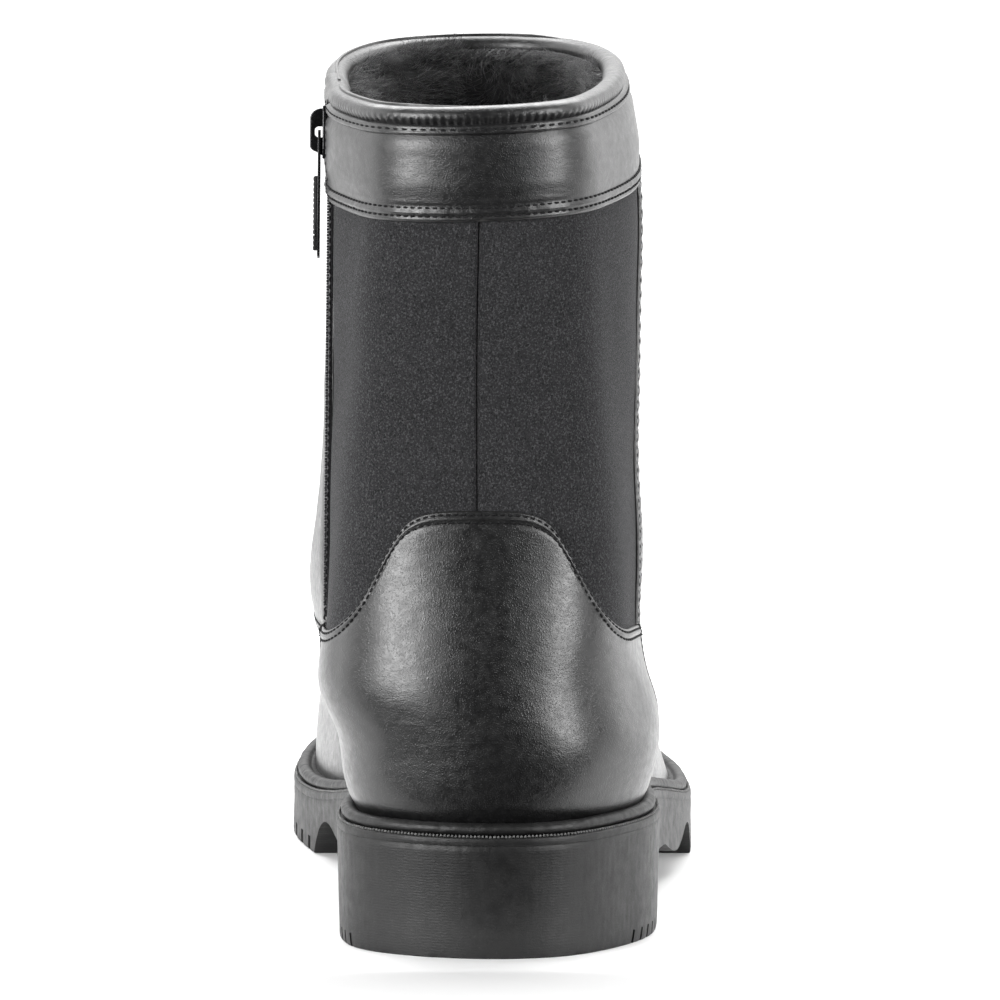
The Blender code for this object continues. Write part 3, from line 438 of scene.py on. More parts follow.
class Patch:
    """A fine grid of the upper between four seams, with each point's distances to the four borders."""

    def __init__(self, p_low, p_high, v_low, v_high, spacing=1.1):
        probe = self._solve(p_low, p_high, v_low, v_high, np.linspace(0, 1, 30), np.linspace(0, 1, 20))
        points = UPPER.at(*probe)
        wide = np.linalg.norm(np.diff(points, axis=1), axis=2).sum(axis=1).mean()
        high = np.linalg.norm(np.diff(points, axis=0), axis=2).sum(axis=0).mean()
        self.p, self.v = self._solve(p_low, p_high, v_low, v_high, grid_places(wide, spacing),
                                     grid_places(high, spacing))
        self.points, self.normals = UPPER.at(self.p, self.v), UPPER.normal(self.p, self.v)
        across = np.linalg.norm(np.diff(self.points, axis=1), axis=2)
        along = np.linalg.norm(np.diff(self.points, axis=0), axis=2)
        zero_row, zero_column = np.zeros((1, self.p.shape[1])), np.zeros((self.p.shape[0], 1))
        self.left = np.concatenate([zero_column, np.cumsum(across, axis=1)], axis=1)
        self.right = self.left[:, -1:] - self.left
        self.low = np.concatenate([zero_row, np.cumsum(along, axis=0)], axis=0)
        self.high = self.low[-1:] - self.low

    @staticmethod
    def _solve(p_low, p_high, v_low, v_high, columns, rows):
        a, b = np.meshgrid(columns, rows)
        v = np.full(a.shape, 0.5)
        for _ in range(5):
            start, end = p_low(v[:, :1]), p_high(v[:, -1:])
            p = start + (end - start) * a
            low, high = v_low(p[:1]), v_high(p[-1:])
            v = low + (high - low) * b
        return p, v

    def lift(self, height):
        """Moves the surface out by `height`, in millimetres, for each point."""
        self.points = self.points + self.normals * np.asarray(height)[..., None]
        return self

    def line(self, side, inset):
        """Points and outward normals along a border, `inset` millimetres inside it."""
        distance = getattr(self, side)
        rows, columns = self.p.shape
        if side in ("low", "high"):
            picks = [(slice(None), c) for c in range(columns)]
        else:
            picks = [(r, slice(None)) for r in range(rows)]
        found = []
        for pick in picks:
            d, order = distance[pick], np.argsort(distance[pick])
            both = np.concatenate([self.points[pick], self.normals[pick]], axis=1)
            found.append([np.interp(inset, d[order], both[order, i]) for i in range(6)])
        found = np.array(found)
        return found[:, :3], found[:, 3:]


def rolled_edge(distance, radius):
    """How much a rounded edge falls away, at a distance from the border."""
    near = np.clip(1 - distance / radius, 0, 1)
    return -radius * (1 - np.sqrt(1 - near**2))


def ridge(distance, centre, width, height):
    return height * np.exp(-(((distance - centre) / width) ** 2))


def groove(distance, centre, width, depth):
    return ridge(distance, centre, width, -depth)


def worn_down(distance, reach):
    """1 at a border, falling evenly to 0 at `reach`."""
    return np.clip(1 - distance / reach, 0, 1)


def leather_surface(points, seed):
    """Shallow unevenness of worn leather."""
    wide = noise(points, 19, seed) * 0.16
    return wide + noise(points, 7.5, seed + 1) * 0.06 + noise(points * (1, 1, 2.2), 3.2, seed + 2) * 0.025


def patch_object(name, patch, finish, thickness=1.3, inner=False, replaces=()):
    """A patch as a solid sheet, thickened inwards, or outwards for a lining, whose inner face shows."""
    rows, columns = patch.p.shape
    points = patch.points.reshape(-1, 3)
    made = add_mesh(name, points, grid_faces(rows, columns), finish, replaces=replaces)
    shell = made.modifiers.new("thickness", "SOLIDIFY")
    shell.thickness = thickness * MM
    shell.offset = 1 if inner else -1
    return made


def along_line(points, normals, pitch):
    """Even places along a line: points, tangents and normals."""
    step = np.linalg.norm(np.diff(points, axis=0), axis=1)
    run = np.concatenate([[0], np.cumsum(step)])
    keep = np.concatenate([[True], step > 1e-6])
    run, points, normals = run[keep], points[keep], normals[keep]
    count = int(run[-1] / pitch)
    places = (np.arange(count) + 0.5) * (run[-1] / count)

    def read(values, where):
        return np.stack([np.interp(where, run, values[:, i]) for i in range(3)], axis=1)

    spots = read(points, places)
    tangents = unit(read(points, places + pitch / 4) - read(points, places - pitch / 4))
    outwards = read(normals, places)
    outwards -= tangents * (outwards * tangents).sum(axis=1, keepdims=True)
    return spots, tangents, unit(outwards)


STITCH_SIDES = 6
STITCH_RINGS = ((-0.5, -1.5, 0.45), (-0.42, -0.35, 0.85), (-0.2, 0.45, 1.0), (0.2, 0.45, 1.0),
                (0.42, -0.35, 0.85), (0.5, -1.5, 0.45))  # place along it, rise and radius, as shares
STITCH_SKEW = 0.05


def stitch_template(length, radius):
    """One stitch, dipping at both ends: points as (along, sideways, out), and faces."""
    rings, turn = len(STITCH_RINGS), np.arange(STITCH_SIDES) * 2 * math.pi / STITCH_SIDES
    points = [
        (share * length, radius * size * math.cos(a), radius * (rise + size * math.sin(a)))
        for share, rise, size in STITCH_RINGS
        for a in turn
    ]
    last = (rings - 1) * STITCH_SIDES
    ends = [tuple(range(STITCH_SIDES)), tuple(range(last + STITCH_SIDES - 1, last - 1, -1))]
    return np.array(points), [tuple(f) for f in grid_faces(rings, STITCH_SIDES, ring=True)[:, TURNED]] + ends


def stitches(lines, pitch, length, radius):
    """Threads along lines of (points, normals)."""
    template, faces = stitch_template(length, radius)
    all_points, all_faces, total = [], [], 0
    for points, normals in lines:
        spots, tangents, outwards = along_line(points, normals, pitch)
        sideways = np.cross(outwards, tangents)
        tangents = unit(tangents + sideways * RANDOM.normal(0, STITCH_SKEW, (len(spots), 1)))
        axes = (tangents, np.cross(outwards, tangents), outwards)
        offsets = sum(template[None, :, i : i + 1] * axis[:, None] for i, axis in enumerate(axes))
        all_points.append((spots[:, None] + offsets).reshape(-1, 3))
        for _ in range(len(spots)):
            all_faces += [tuple(i + total for i in face) for face in faces]
            total += len(template)
    return np.concatenate(all_points), all_faces


def thread_object(name, lines, finish, pitch=2.0, length=1.55, radius=0.3):
    points, faces = stitches(lines, pitch, length, radius)
    return add_mesh(name, points, faces, finish)


def join_points(parts):
    """Several (points, faces) as one."""
    points, faces, total = [], [], 0
    for some, their_faces in parts:
        points.append(np.asarray(some, float))
        faces += [tuple(int(i) + total for i in face) for face in their_faces]
        total += len(some)
    return np.concatenate(points), faces


# ---------------------------------------------------------------------------------------------------------
# Materials
# ---------------------------------------------------------------------------------------------------------


WAVE_AT_SCALE_1 = 0.314  # length of a wave texture's waves when its scale is 1


def shade(colour, times):
    return tuple(c * times for c in colour)


class Look:
    """A Principled material whose colour, gloss and relief are added layer by layer."""

    def __init__(self, name, colour, roughness, metallic=0.0, **constants):
        self.made = bpy.data.materials.new(name)
        self.made.use_nodes = True
        self.nodes, self.links = self.made.node_tree.nodes, self.made.node_tree.links
        self.shader = self.nodes["Principled BSDF"]
        self.shader.inputs["Base Color"].default_value = (*colour, 1)
        self.shader.inputs["Roughness"].default_value = roughness
        self.shader.inputs["Metallic"].default_value = metallic
        for socket, value in constants.items():
            self.shader.inputs[socket.replace("_", " ")].default_value = value
        self.made.diffuse_color = (*colour, 1)
        self.place = self.nodes.new("ShaderNodeTexCoord").outputs["Object"]
        self.colour = self.relief = None
        self.base = (*colour, 1)

    def stretched(self, scale):
        mapping = self.nodes.new("ShaderNodeMapping")
        mapping.inputs["Scale"].default_value = scale
        self.links.new(self.place, mapping.inputs["Vector"])
        return mapping.outputs["Vector"]

    def noise(self, size, detail, vector=None, rough=0.55):
        """Noise with lumps of `size` millimetres."""
        node = self.nodes.new("ShaderNodeTexNoise")
        node.inputs["Scale"].default_value = 1 / (size * MM)
        node.inputs["Detail"].default_value = detail
        node.inputs["Roughness"].default_value = rough
        self.links.new(vector or self.place, node.inputs["Vector"])
        return node.outputs["Fac"]

    def cells(self, size):
        node = self.nodes.new("ShaderNodeTexVoronoi")
        node.inputs["Scale"].default_value = 1 / (size * MM)
        self.links.new(self.place, node.inputs["Vector"])
        return node.outputs["Distance"]

    def waves(self, size, axis, distortion=0.0):
        """Waves `size` millimetres long."""
        node = self.nodes.new("ShaderNodeTexWave")
        node.bands_direction = axis
        node.inputs["Scale"].default_value = WAVE_AT_SCALE_1 / (size * MM)
        node.inputs["Distortion"].default_value = distortion
        self.links.new(self.place, node.inputs["Vector"])
        return node.outputs["Fac"]

    def between(self, value, low, high, start=0.0, end=1.0):
        node = self.nodes.new("ShaderNodeMapRange")
        node.interpolation_type = "SMOOTHSTEP"
        for name, number in (("From Min", low), ("From Max", high), ("To Min", start), ("To Max", end)):
            node.inputs[name].default_value = number
        self.links.new(value, node.inputs["Value"])
        return node.outputs["Result"]

    def times(self, a, b):
        node = self.nodes.new("ShaderNodeMath")
        node.operation = "MULTIPLY"
        for socket, value in zip(node.inputs, (a, b)):
            self.links.new(value, socket)
        return node.outputs["Value"]

    def tint(self, mask, colour):
        """Turns the colour into another where the mask is 1."""
        node = self.nodes.new("ShaderNodeMix")
        node.data_type = "RGBA"
        self.links.new(mask, node.inputs["Factor"])
        if self.colour:
            self.links.new(self.colour, node.inputs["A"])
        else:
            node.inputs["A"].default_value = self.base
        node.inputs["B"].default_value = (*colour, 1)
        self.colour = node.outputs["Result"]
        self.links.new(self.colour, self.shader.inputs["Base Color"])
        return self

    def mottle(self, colour, size, detail, low, high, share=1.0, **options):
        """Patches of another colour, `share` strong, where noise lies beyond low to high."""
        return self.tint(self.between(self.noise(size, detail, **options), low, high, 0.0, share), colour)

    def gloss(self, value, low, high):
        """Roughness from low to high as the value goes from 0 to 1."""
        self.links.new(self.between(value, 0.0, 1.0, low, high), self.shader.inputs["Roughness"])
        return self

    def bump(self, height, depth, strength=1.0):
        """Relief of `depth` millimetres."""
        node = self.nodes.new("ShaderNodeBump")
        node.inputs["Distance"].default_value = depth * MM
        node.inputs["Strength"].default_value = strength
        self.links.new(height, node.inputs["Height"])
        if self.relief:
            self.links.new(self.relief, node.inputs["Normal"])
        self.relief = node.outputs["Normal"]
        self.links.new(self.relief, self.shader.inputs["Normal"])
        return self

    def edge_wear(self, colour, low, high):
        pointed = self.nodes.new("ShaderNodeNewGeometry").outputs["Pointiness"]
        return self.tint(self.between(pointed, low, high), colour)


def leather_look(name, colour, roughness, grain):
    look = Look(name, colour, roughness, Specular_IOR_Level=0.65, Coat_Weight=0.4, Coat_Roughness=0.3)
    look.mottle(shade(colour, 1.7), 6, 5, 0.35, 0.75, 0.6)
    look.mottle((0.016, 0.016, 0.017), 0.35, 2, 0.55, 0.75, 0.4)
    look.edge_wear((0.03, 0.0295, 0.0285), 0.53, 0.64)
    look.gloss(look.noise(2.2, 6), roughness - 0.14, roughness + 0.16)
    pebbles = look.between(look.cells(grain), 0.05, 0.55, 1.0, 0.0)
    look.bump(look.noise(9, 4, look.stretched((1, 1, 2.4))), 0.5, 0.6)
    look.bump(pebbles, 0.04)
    look.bump(look.noise(0.45, 4), 0.05)
    return look.made


def fabric_look():
    look = Look("microsuede", (0.0235, 0.0235, 0.0248), 0.95, Sheen_Weight=0.1, Sheen_Roughness=0.35,
                Specular_IOR_Level=0.15)
    look.mottle((0.031, 0.031, 0.0328), 17, 4, 0.3, 0.7, 0.5)
    look.mottle((0.08, 0.08, 0.0835), 0.52, 3, 0.5, 0.62, 0.85, rough=0.75)
    look.mottle((0.006, 0.006, 0.0065), 0.46, 3, 0.48, 0.36, 0.8, vector=look.stretched((1.3, 1, 0.8)))
    look.bump(look.noise(0.5, 4, rough=0.8), 0.16)
    look.bump(look.noise(0.25, 2), 0.06)
    return look.made


def rubber_look(name="sole_rubber", colour=(0.004, 0.004, 0.0042)):
    look = Look(name, colour, 0.42, Specular_IOR_Level=0.5)
    look.mottle((0.0085, 0.0083, 0.008), 8, 5, 0.35, 0.7, 0.5)
    look.mottle((0.03, 0.0292, 0.0275), 0.7, 3, 0.62, 0.75, 0.45)
    look.edge_wear((0.035, 0.034, 0.0325), 0.53, 0.66)
    look.gloss(look.noise(3, 5), 0.38, 0.62)
    look.bump(look.waves(0.75, "Z", 4), 0.012)
    look.bump(look.noise(1.1, 4, look.stretched((1, 1, 2.5))), 0.06)
    look.bump(look.noise(0.35, 3), 0.035)
    return look.made


def thread_look(name="thread", colour=(0.0065, 0.0065, 0.007), worn=(0.022, 0.022, 0.024)):
    look = Look(name, colour, 0.7, Specular_IOR_Level=0.25)
    look.mottle(worn, 0.5, 3, 0.45, 0.75, 0.7)
    look.bump(look.waves(0.16, "DIAGONAL", 1.0), 0.05)
    return look.made


def fur_look(name, colour, tip):
    look = Look(name, colour, 0.6, Sheen_Weight=0.4, Sheen_Roughness=0.5, Specular_IOR_Level=0.35)
    island = look.nodes.new("ShaderNodeNewGeometry").outputs["Random Per Island"]
    look.tint(look.between(island, 0.25, 1.0, 0.0, 0.8), tip)
    look.mottle(shade(colour, 0.4), 9, 3, 0.45, 0.7, 0.5)
    look.bump(look.noise(0.3, 2), 0.05)
    return look.made


def metal_look(name, colour, roughness, metallic):
    look = Look(name, colour, roughness, metallic, Coat_Weight=0.35, Coat_Roughness=0.12)
    look.mottle(tuple(c * 1.8 + 0.01 for c in colour), 1.8, 5, 0.45, 0.7, 0.5)
    look.edge_wear((0.24, 0.24, 0.25), 0.54, 0.66)
    look.gloss(look.noise(0.9, 4), roughness - 0.08, roughness + 0.14)
    look.bump(look.noise(0.35, 3), 0.02)
    return look.made


def tape_look():
    look = Look("zip_tape_weave", (0.013, 0.013, 0.014), 0.85, Sheen_Weight=0.25)
    weave = look.times(look.waves(0.45, "Z"), look.waves(0.6, "Y"))
    look.tint(look.between(weave, 0.3, 0.8, 0.0, 0.8), (0.045, 0.045, 0.048))
    look.bump(weave, 0.14)
    look.bump(look.noise(0.2, 2), 0.05)
    return look.made


def plain_look(name, colour, second, roughness, grain, depth, metallic=0.0):
    """Hidden stiffeners, boards and foams: mottled, with a grain of `grain` millimetres."""
    look = Look(name, colour, roughness, metallic)
    look.mottle(second, grain * 6, 5, 0.35, 0.7)
    look.tint(look.between(look.cells(grain), 0.0, 0.3, 0.5, 0.0), shade(colour, 0.6))
    look.gloss(look.noise(grain * 3, 4), roughness - 0.1, min(1.0, roughness + 0.1))
    look.bump(look.noise(grain, 4), depth)
    return look.made


LEATHER = leather_look("grained_leather", (0.0032, 0.0032, 0.0034), 0.37, 0.5)
SOFT_LEATHER = leather_look("collar_leather", (0.0045, 0.0045, 0.0048), 0.39, 0.45)
FABRIC = fabric_look()
RUBBER = rubber_look()
WELT_RUBBER = rubber_look("welt_rubber", (0.005, 0.005, 0.0052))
GRIP = rubber_look("grip_rubber_look", (0.017, 0.017, 0.018))
THREAD = thread_look()
WELT_THREAD = thread_look("welt_thread", (0.13, 0.13, 0.13), (0.33, 0.33, 0.32))
FLAG = plain_look("black_flag", (0.001, 0.001, 0.001), (0.002, 0.002, 0.002), 1.0, 3.0, 0.05)
FUR = fur_look("fur_strand", (0.008, 0.008, 0.0087), (0.04, 0.04, 0.0425))
FUR_BACKING = fur_look("fur_backing_knit", (0.005, 0.005, 0.0055), (0.009, 0.009, 0.01))
FLEECE = fur_look("fleece_pile", (0.03, 0.03, 0.033), (0.06, 0.06, 0.064))
PLASTIC_TEETH = metal_look("zip_coil", (0.03, 0.03, 0.032), 0.3, 0.5)
BLACK_METAL = metal_look("black_lacquer", (0.02, 0.02, 0.021), 0.22, 0.75)
TAPE = tape_look()
CARRIED = {
    "insole_board": plain_look("pressed_board", (0.42, 0.34, 0.23), (0.5, 0.42, 0.3), 0.8, 0.9, 0.2),
    "heel_filler": plain_look("filler_foam", (0.12, 0.12, 0.125), (0.17, 0.17, 0.175), 0.85, 0.7, 0.3),
    "shank": plain_look("shank_steel", (0.55, 0.55, 0.56), (0.42, 0.42, 0.43), 0.32, 1.5, 0.03, 1.0),
    "heel_counter": plain_look("counter_fibre", (0.6, 0.57, 0.5), (0.5, 0.46, 0.39), 0.72, 0.5, 0.12),
    "toe_puff": plain_look("puff_fibre", (0.6, 0.57, 0.5), (0.5, 0.46, 0.39), 0.72, 0.5, 0.12),
    "collar_foam": plain_look("collar_sponge", (0.5, 0.5, 0.47), (0.6, 0.6, 0.57), 0.9, 0.6, 0.25),
}
for node, finish in CARRIED.items():
    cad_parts[node].material_slots[0].material = finish


# ---------------------------------------------------------------------------------------------------------
# Camera, light and floor
# ---------------------------------------------------------------------------------------------------------

CAMERA_AT = (0.0025, -2.3525, 0.3715)
CAMERA_DOWN = 6.544  # degrees
CAMERA_LENS = 311.7


SKY = (("From Min", -0.1), ("From Max", 0.5), ("To Min", 0.3), ("To Max", 1.4))  # brighter behind the boot
LIGHTS = (  # name, place, width and height, power
    ("left_strip", (-0.64, -0.7, 0.3), (0.36, 0.8), 11.2),
    ("right_strip", (0.71, -0.6, 0.34), (0.26, 0.9), 8.5),
    ("left_side", (-0.85, 0.05, 0.36), (0.5, 0.9), 2.4),
    ("right_side", (0.78, 0.34, 0.36), (0.5, 0.9), 2.4),
    ("top_softbox", (0, 0.75, 1.5), (1.8, 1.1), 44),
)
LIGHTS_AIM = Vector((0, 0, 0.12))
FLOOR_SIDE, FLOOR_NEAR, FLOOR_FAR = 4.0, -6.0, 0.85
FLAG_SIDE, FLAG_BACK, FLAG_FRONT, FLAG_TOP = 1.7, -2.45, -0.12, 2.1
FLAG_SIDE_FRONT, FLAG_GROUND_FRONT = -0.42, -0.168
FLAG_FOOT, FLAG_GROUND = 0.01, 0.006


def make_camera():
    camera = bpy.data.objects.new("camera", bpy.data.cameras.new("camera"))
    camera.location = CAMERA_AT
    camera.rotation_euler = (math.radians(90 - CAMERA_DOWN), 0, 0)
    camera.data.lens = CAMERA_LENS
    camera.data.sensor_width = 36
    camera.data.clip_start = 0.05
    bpy.context.scene.collection.objects.link(camera)
    bpy.context.scene.camera = camera
    bpy.context.scene.view_settings.view_transform = "Standard"


def make_world():
    world = bpy.data.worlds.new("studio")
    world.use_nodes = True
    nodes, links = world.node_tree.nodes, world.node_tree.links
    direction = nodes.new("ShaderNodeTexCoord").outputs["Generated"]
    split = nodes.new("ShaderNodeSeparateXYZ")
    ahead = nodes.new("ShaderNodeMapRange")
    ahead.interpolation_type = "SMOOTHSTEP"
    for name, number in SKY:
        ahead.inputs[name].default_value = number
    links.new(direction, split.inputs["Vector"])
    links.new(split.outputs["Y"], ahead.inputs["Value"])
    links.new(ahead.outputs["Result"], nodes["Background"].inputs["Strength"])
    nodes["Background"].inputs["Color"].default_value = (1, 1, 1, 1)
    bpy.context.scene.world = world


def make_lights():
    for name, place, size, power in LIGHTS:
        light = bpy.data.lights.new(name, "AREA")
        light.shape = "RECTANGLE"
        light.size, light.size_y = size
        light.energy = power
        lamp = bpy.data.objects.new(name, light)
        lamp.location = place
        lamp.rotation_euler = (LIGHTS_AIM - Vector(place)).to_track_quat("-Z", "Y").to_euler()
        lamp.visible_camera = False
        bpy.context.scene.collection.objects.link(lamp)


def staged(name, finish, quads):
    """A part of the studio from four-cornered faces, in metres."""
    mesh = bpy.data.meshes.new(name)
    corners = [corner for quad in quads for corner in quad]
    mesh.from_pydata(corners, [], [tuple(range(4 * i, 4 * i + 4)) for i in range(len(quads))])
    mesh.materials.append(finish)
    made = bpy.data.objects.new(name, mesh)
    bpy.context.scene.collection.objects.link(made)
    return made


def level_quad(side, back, front, z):
    return (-side, back, z), (side, back, z), (side, front, z), (-side, front, z)


def upright_quad(start, end, low, high):
    return (*start, low), (*end, low), (*end, high), (*start, high)


def make_floor():
    look = Look("pale_floor", (0.86, 0.86, 0.86), 0.75)
    look.mottle((0.9, 0.9, 0.9), 400, 3, 0.3, 0.7, 0.4)
    look.bump(look.noise(1.5, 2), 0.02)
    staged("studio_floor", look.made, [level_quad(FLOOR_SIDE, FLOOR_NEAR, FLOOR_FAR, 0)])


def make_flags():
    """Black flags behind the camera and over the floor there: they keep the heel's middle dark, unseen."""
    left, right = ((x, FLAG_BACK) for x in (-FLAG_SIDE, FLAG_SIDE))
    walls = [
        upright_quad(left, right, FLAG_FOOT, FLAG_TOP),
        level_quad(FLAG_SIDE, FLAG_BACK, FLAG_FRONT, FLAG_TOP),
        *[upright_quad(back, (back[0], FLAG_SIDE_FRONT), FLAG_FOOT, FLAG_TOP) for back in (left, right)],
    ]
    ground = [level_quad(FLAG_SIDE, FLAG_BACK, FLAG_GROUND_FRONT, FLAG_GROUND)]
    for name, quads in (("flag_walls", walls), ("flag_ground", ground)):
        flag = staged(name, FLAG, quads)
        flag.visible_camera = False
        flag.visible_shadow = name == "flag_walls"


# ---------------------------------------------------------------------------------------------------------
# Sole and welt
# ---------------------------------------------------------------------------------------------------------

WALL_STATIONS = 1400
SLIT_STATIONS = 3600
WELT_STATIONS = 1600
HEEL_GROOVES = (14.0, 25.0, 36.0, 60.0, 71.0)
FOREFOOT_GROOVES = tuple(161.0 + 11.5 * k for k in range(11))
GROOVE_HALF_WIDTH = 1.6
GROOVE_INSET = 7.0  # the heel's grooves stop this far from its wall
GROOVE_REACH = 64.0  # the forefoot's run out past its sides
ZIGZAG = 0.9
ZIGZAG_TURNS = 8
SIDE_SLIT = (1.1, 4.2, 1.1)  # width, height and depth of a slit in the tread's side
SIDE_SLIT_PITCH = 5.0
SIDE_SLIT_LEAN = 0.25
SLITS_BESIDE = 35.5  # slits start this far from the sole's middle


def outline(stations):
    """The sole's plan outline, closed, anticlockwise from the middle of the back: x, y and outward x, y."""
    t = np.linspace(0, 2 * math.pi, stations, endpoint=False)
    t = t + 0.12 * np.sin(2 * t)
    folded = np.where(t <= math.pi, t, 2 * math.pi - t)
    y = SOLE_LENGTH * (1 - np.cos(folded)) / 2
    x = through(MIDDLE, y) + np.where(t <= math.pi, 1, -1) * half_width(SOLE_WIDTHS, folded)
    step = np.roll(np.stack([x, y], 1), -1, axis=0) - np.roll(np.stack([x, y], 1), 1, axis=0)
    return x, y, unit(np.stack([step[:, 1], -step[:, 0]], axis=1))


def sole_bottom(y):
    rise = np.clip((np.asarray(y, float) - TOE_SPRING_FROM) / (SOLE_LENGTH - TOE_SPRING_FROM), 0, 1)
    return TOE_SPRING * rise**2


def sole_taper(y):
    heel, forefoot = WALL_TAPER
    return heel + (forefoot - heel) * smooth((y - HEEL_BREAST) / (ARCH_END - HEEL_BREAST))


# The wall's section from the rim down, as (below the rim's top, outwards), with a fine moulded line
WALL_SECTION = ((0, -3.4), (0, -0.75), (0.06, -0.35), (0.25, -0.1), (0.55, 0.02), (1.2, 0.06), (1.6, 0.05),
                (1.9, 0.03), (2.1, -0.14), (2.25, -0.2), (2.4, -0.14), (2.6, 0), (4.0, 0.02), (6.6, -0.05))


def hidden(name, mesh):
    made = bpy.data.objects.new(name, mesh)
    made.hide_render = True
    bpy.context.scene.collection.objects.link(made)
    return made


def tool(name, bm):
    """A hidden closed mesh, in the design's millimetres, for a Boolean."""
    bmesh.ops.recalc_face_normals(bm, faces=bm.faces)
    mesh = bpy.data.meshes.new(name)
    bm.to_mesh(mesh)
    bm.free()
    mesh.transform(Matrix.Scale(MM, 4) @ Matrix.Translation(-Vector(CENTRE)))
    return hidden(name, mesh)


def prism(bm, section, low, high):
    """A closed prism over a polygon of (x, y) points, from low to high."""
    ends = []
    for z in (low, high):
        ends.append([bm.verts.new((a, b, z)) for a, b in section])
    count = len(section)
    for i in range(count):
        bm.faces.new((ends[0][i], ends[0][(i + 1) % count], ends[1][(i + 1) % count], ends[1][i]))
    bm.faces.new(ends[0])
    bm.faces.new(ends[1])


def cut_away(obj, tools):
    for cutter in tools:
        cut = obj.modifiers.new(cutter.name, "BOOLEAN")
        cut.object, cut.operation, cut.solver = cutter, "DIFFERENCE", "EXACT"


def bake(obj, helpers):
    """Turns modifiers into mesh and removes the helpers."""
    graph = bpy.context.evaluated_depsgraph_get()
    mesh = bpy.data.meshes.new_from_object(obj.evaluated_get(graph))
    obj.modifiers.clear()
    old, obj.data = obj.data, mesh
    bpy.data.meshes.remove(old)
    for helper in helpers:
        bpy.data.objects.remove(helper, do_unlink=True)


def frame_matrix(spot, across, up, out, size):
    columns = [[*(np.asarray(axis) * s), 0] for axis, s in zip((across, up, out), size)] + [[*spot, 1]]
    return Matrix(columns).transposed()


def beside_outline(x, y, normal, out, z):
    """The outline moved `out` sideways, at the heights z."""
    return np.stack([x + normal[:, 0] * out, y + normal[:, 1] * out, z], axis=1)


def wall_rows():
    """The sole's wall, as rows of points from the rim down to the tread."""
    x, y, normal = outline(WALL_STATIONS)
    top, bottom, taper = sole_top(y) + LIP, sole_bottom(y), sole_taper(y)
    rows = []
    for below, out in WALL_SECTION:
        z = top - below
        share = (top - z) / (top - bottom)
        rows.append((out - taper * share, z))
    start = top - WALL_SECTION[-1][0]
    for share in np.linspace(0.25, 0.96, 9):
        z = start + (bottom - start) * share
        rows.append((-0.05 - taper * (top - z) / (top - bottom), z))
    rows.append((-0.15 - taper, bottom + 0.2))
    rows.append((-0.4 - taper, bottom))
    grid = []
    for out, z in rows:
        spots = beside_outline(x, y, normal, out, z)
        rough = noise(spots, 0.9, 3) * 0.05 + noise(spots, 6, 4) * 0.08
        spots[:, :2] += normal * rough[:, None]
        grid.append(spots)
    return grid


def side_to_side(first, flip):
    """Strips across the ring of points that begins at `first`, between stations at mirrored places."""
    faces = []
    for i in range(WALL_STATIONS // 2):
        j = (WALL_STATIONS - i) % WALL_STATIONS
        face = tuple(dict.fromkeys((first + i, first + i + 1, first + WALL_STATIONS - i - 1, first + j)))
        faces.append(face[::-1] if flip else face)
    return faces


def arch_tool():
    """What is taken away under the arch, right across the sole."""
    section = ((HEEL_BREAST, -5), (HEEL_BREAST + 2, ARCH_HEIGHT - 3), (HEEL_BREAST + 9, ARCH_HEIGHT),
               (HEEL_BREAST + 22, ARCH_HEIGHT), (ARCH_END - 6, 6.5), (ARCH_RISES_TO, 0.4),
               (ARCH_RISES_TO + 3, -5))
    y = np.linspace(section[0][0], section[-1][0], 41)
    z = np.minimum(through(section, y), ARCH_HEIGHT)
    bm = bmesh.new()
    prism(bm, list(zip(y, z)), -80, 80)
    upright = Matrix(((0, 0, 1, 0), (1, 0, 0, 0), (0, 1, 0, 0), (0, 0, 0, 1)))
    bmesh.ops.transform(bm, matrix=upright, verts=bm.verts)
    return tool("arch_tool", bm)


def groove_tool():
    """The tread's zigzag grooves."""
    bm = bmesh.new()
    for place in (*HEEL_GROOVES, *FOREFOOT_GROOVES):
        floor, middle, reach = float(sole_bottom(place)), float(through(MIDDLE, place)), GROOVE_REACH
        if place < HEEL_BREAST:
            angle = math.acos(1 - 2 * place / SOLE_LENGTH)
            reach = float(half_width(SOLE_WIDTHS, angle)) - GROOVE_INSET
        turns = []
        for k in range(ZIGZAG_TURNS + 1):
            across = middle - reach + 2 * reach * k / ZIGZAG_TURNS
            turns.append((across, place + (ZIGZAG if k % 2 else -ZIGZAG)))
        section = [(a, b - GROOVE_HALF_WIDTH) for a, b in turns]
        section += [(a, b + GROOVE_HALF_WIDTH) for a, b in turns[::-1]]
        prism(bm, section, floor - 4, floor + TREAD_DEPTH)
    return tool("groove_tool", bm)


def slit_tool():
    """Fine upright slits in the side of the heel's tread."""
    bm = bmesh.new()
    x, y, normal = outline(SLIT_STATIONS)
    run = np.concatenate([[0], np.cumsum(np.hypot(np.diff(x), np.diff(y)))])
    wide, high, deep = SIDE_SLIT
    for place in np.arange(2, run[-1], SIDE_SLIT_PITCH):
        i = int(np.searchsorted(run, place)) % len(x)
        if abs(x[i] - CENTRE[0]) < SLITS_BESIDE or y[i] > HEEL_BREAST - 6:
            continue
        out = np.array((*normal[i], 0))
        lean = SIDE_SLIT_LEAN * (1 if x[i] > 0 else -1)
        up = np.array((-normal[i][1] * lean, normal[i][0] * lean, 1))
        up /= np.linalg.norm(up)
        inset = float(sole_taper(y[i])) + 0.3
        spot = np.array((x[i], y[i], float(sole_bottom(y[i])) + high / 2 - 0.6)) - out * inset
        place_of_slit = frame_matrix(spot, np.cross(up, out), up, out, (wide, high, 2 * deep))
        bmesh.ops.create_cube(bm, size=1, matrix=place_of_slit)
    return tool("slit_tool", bm)


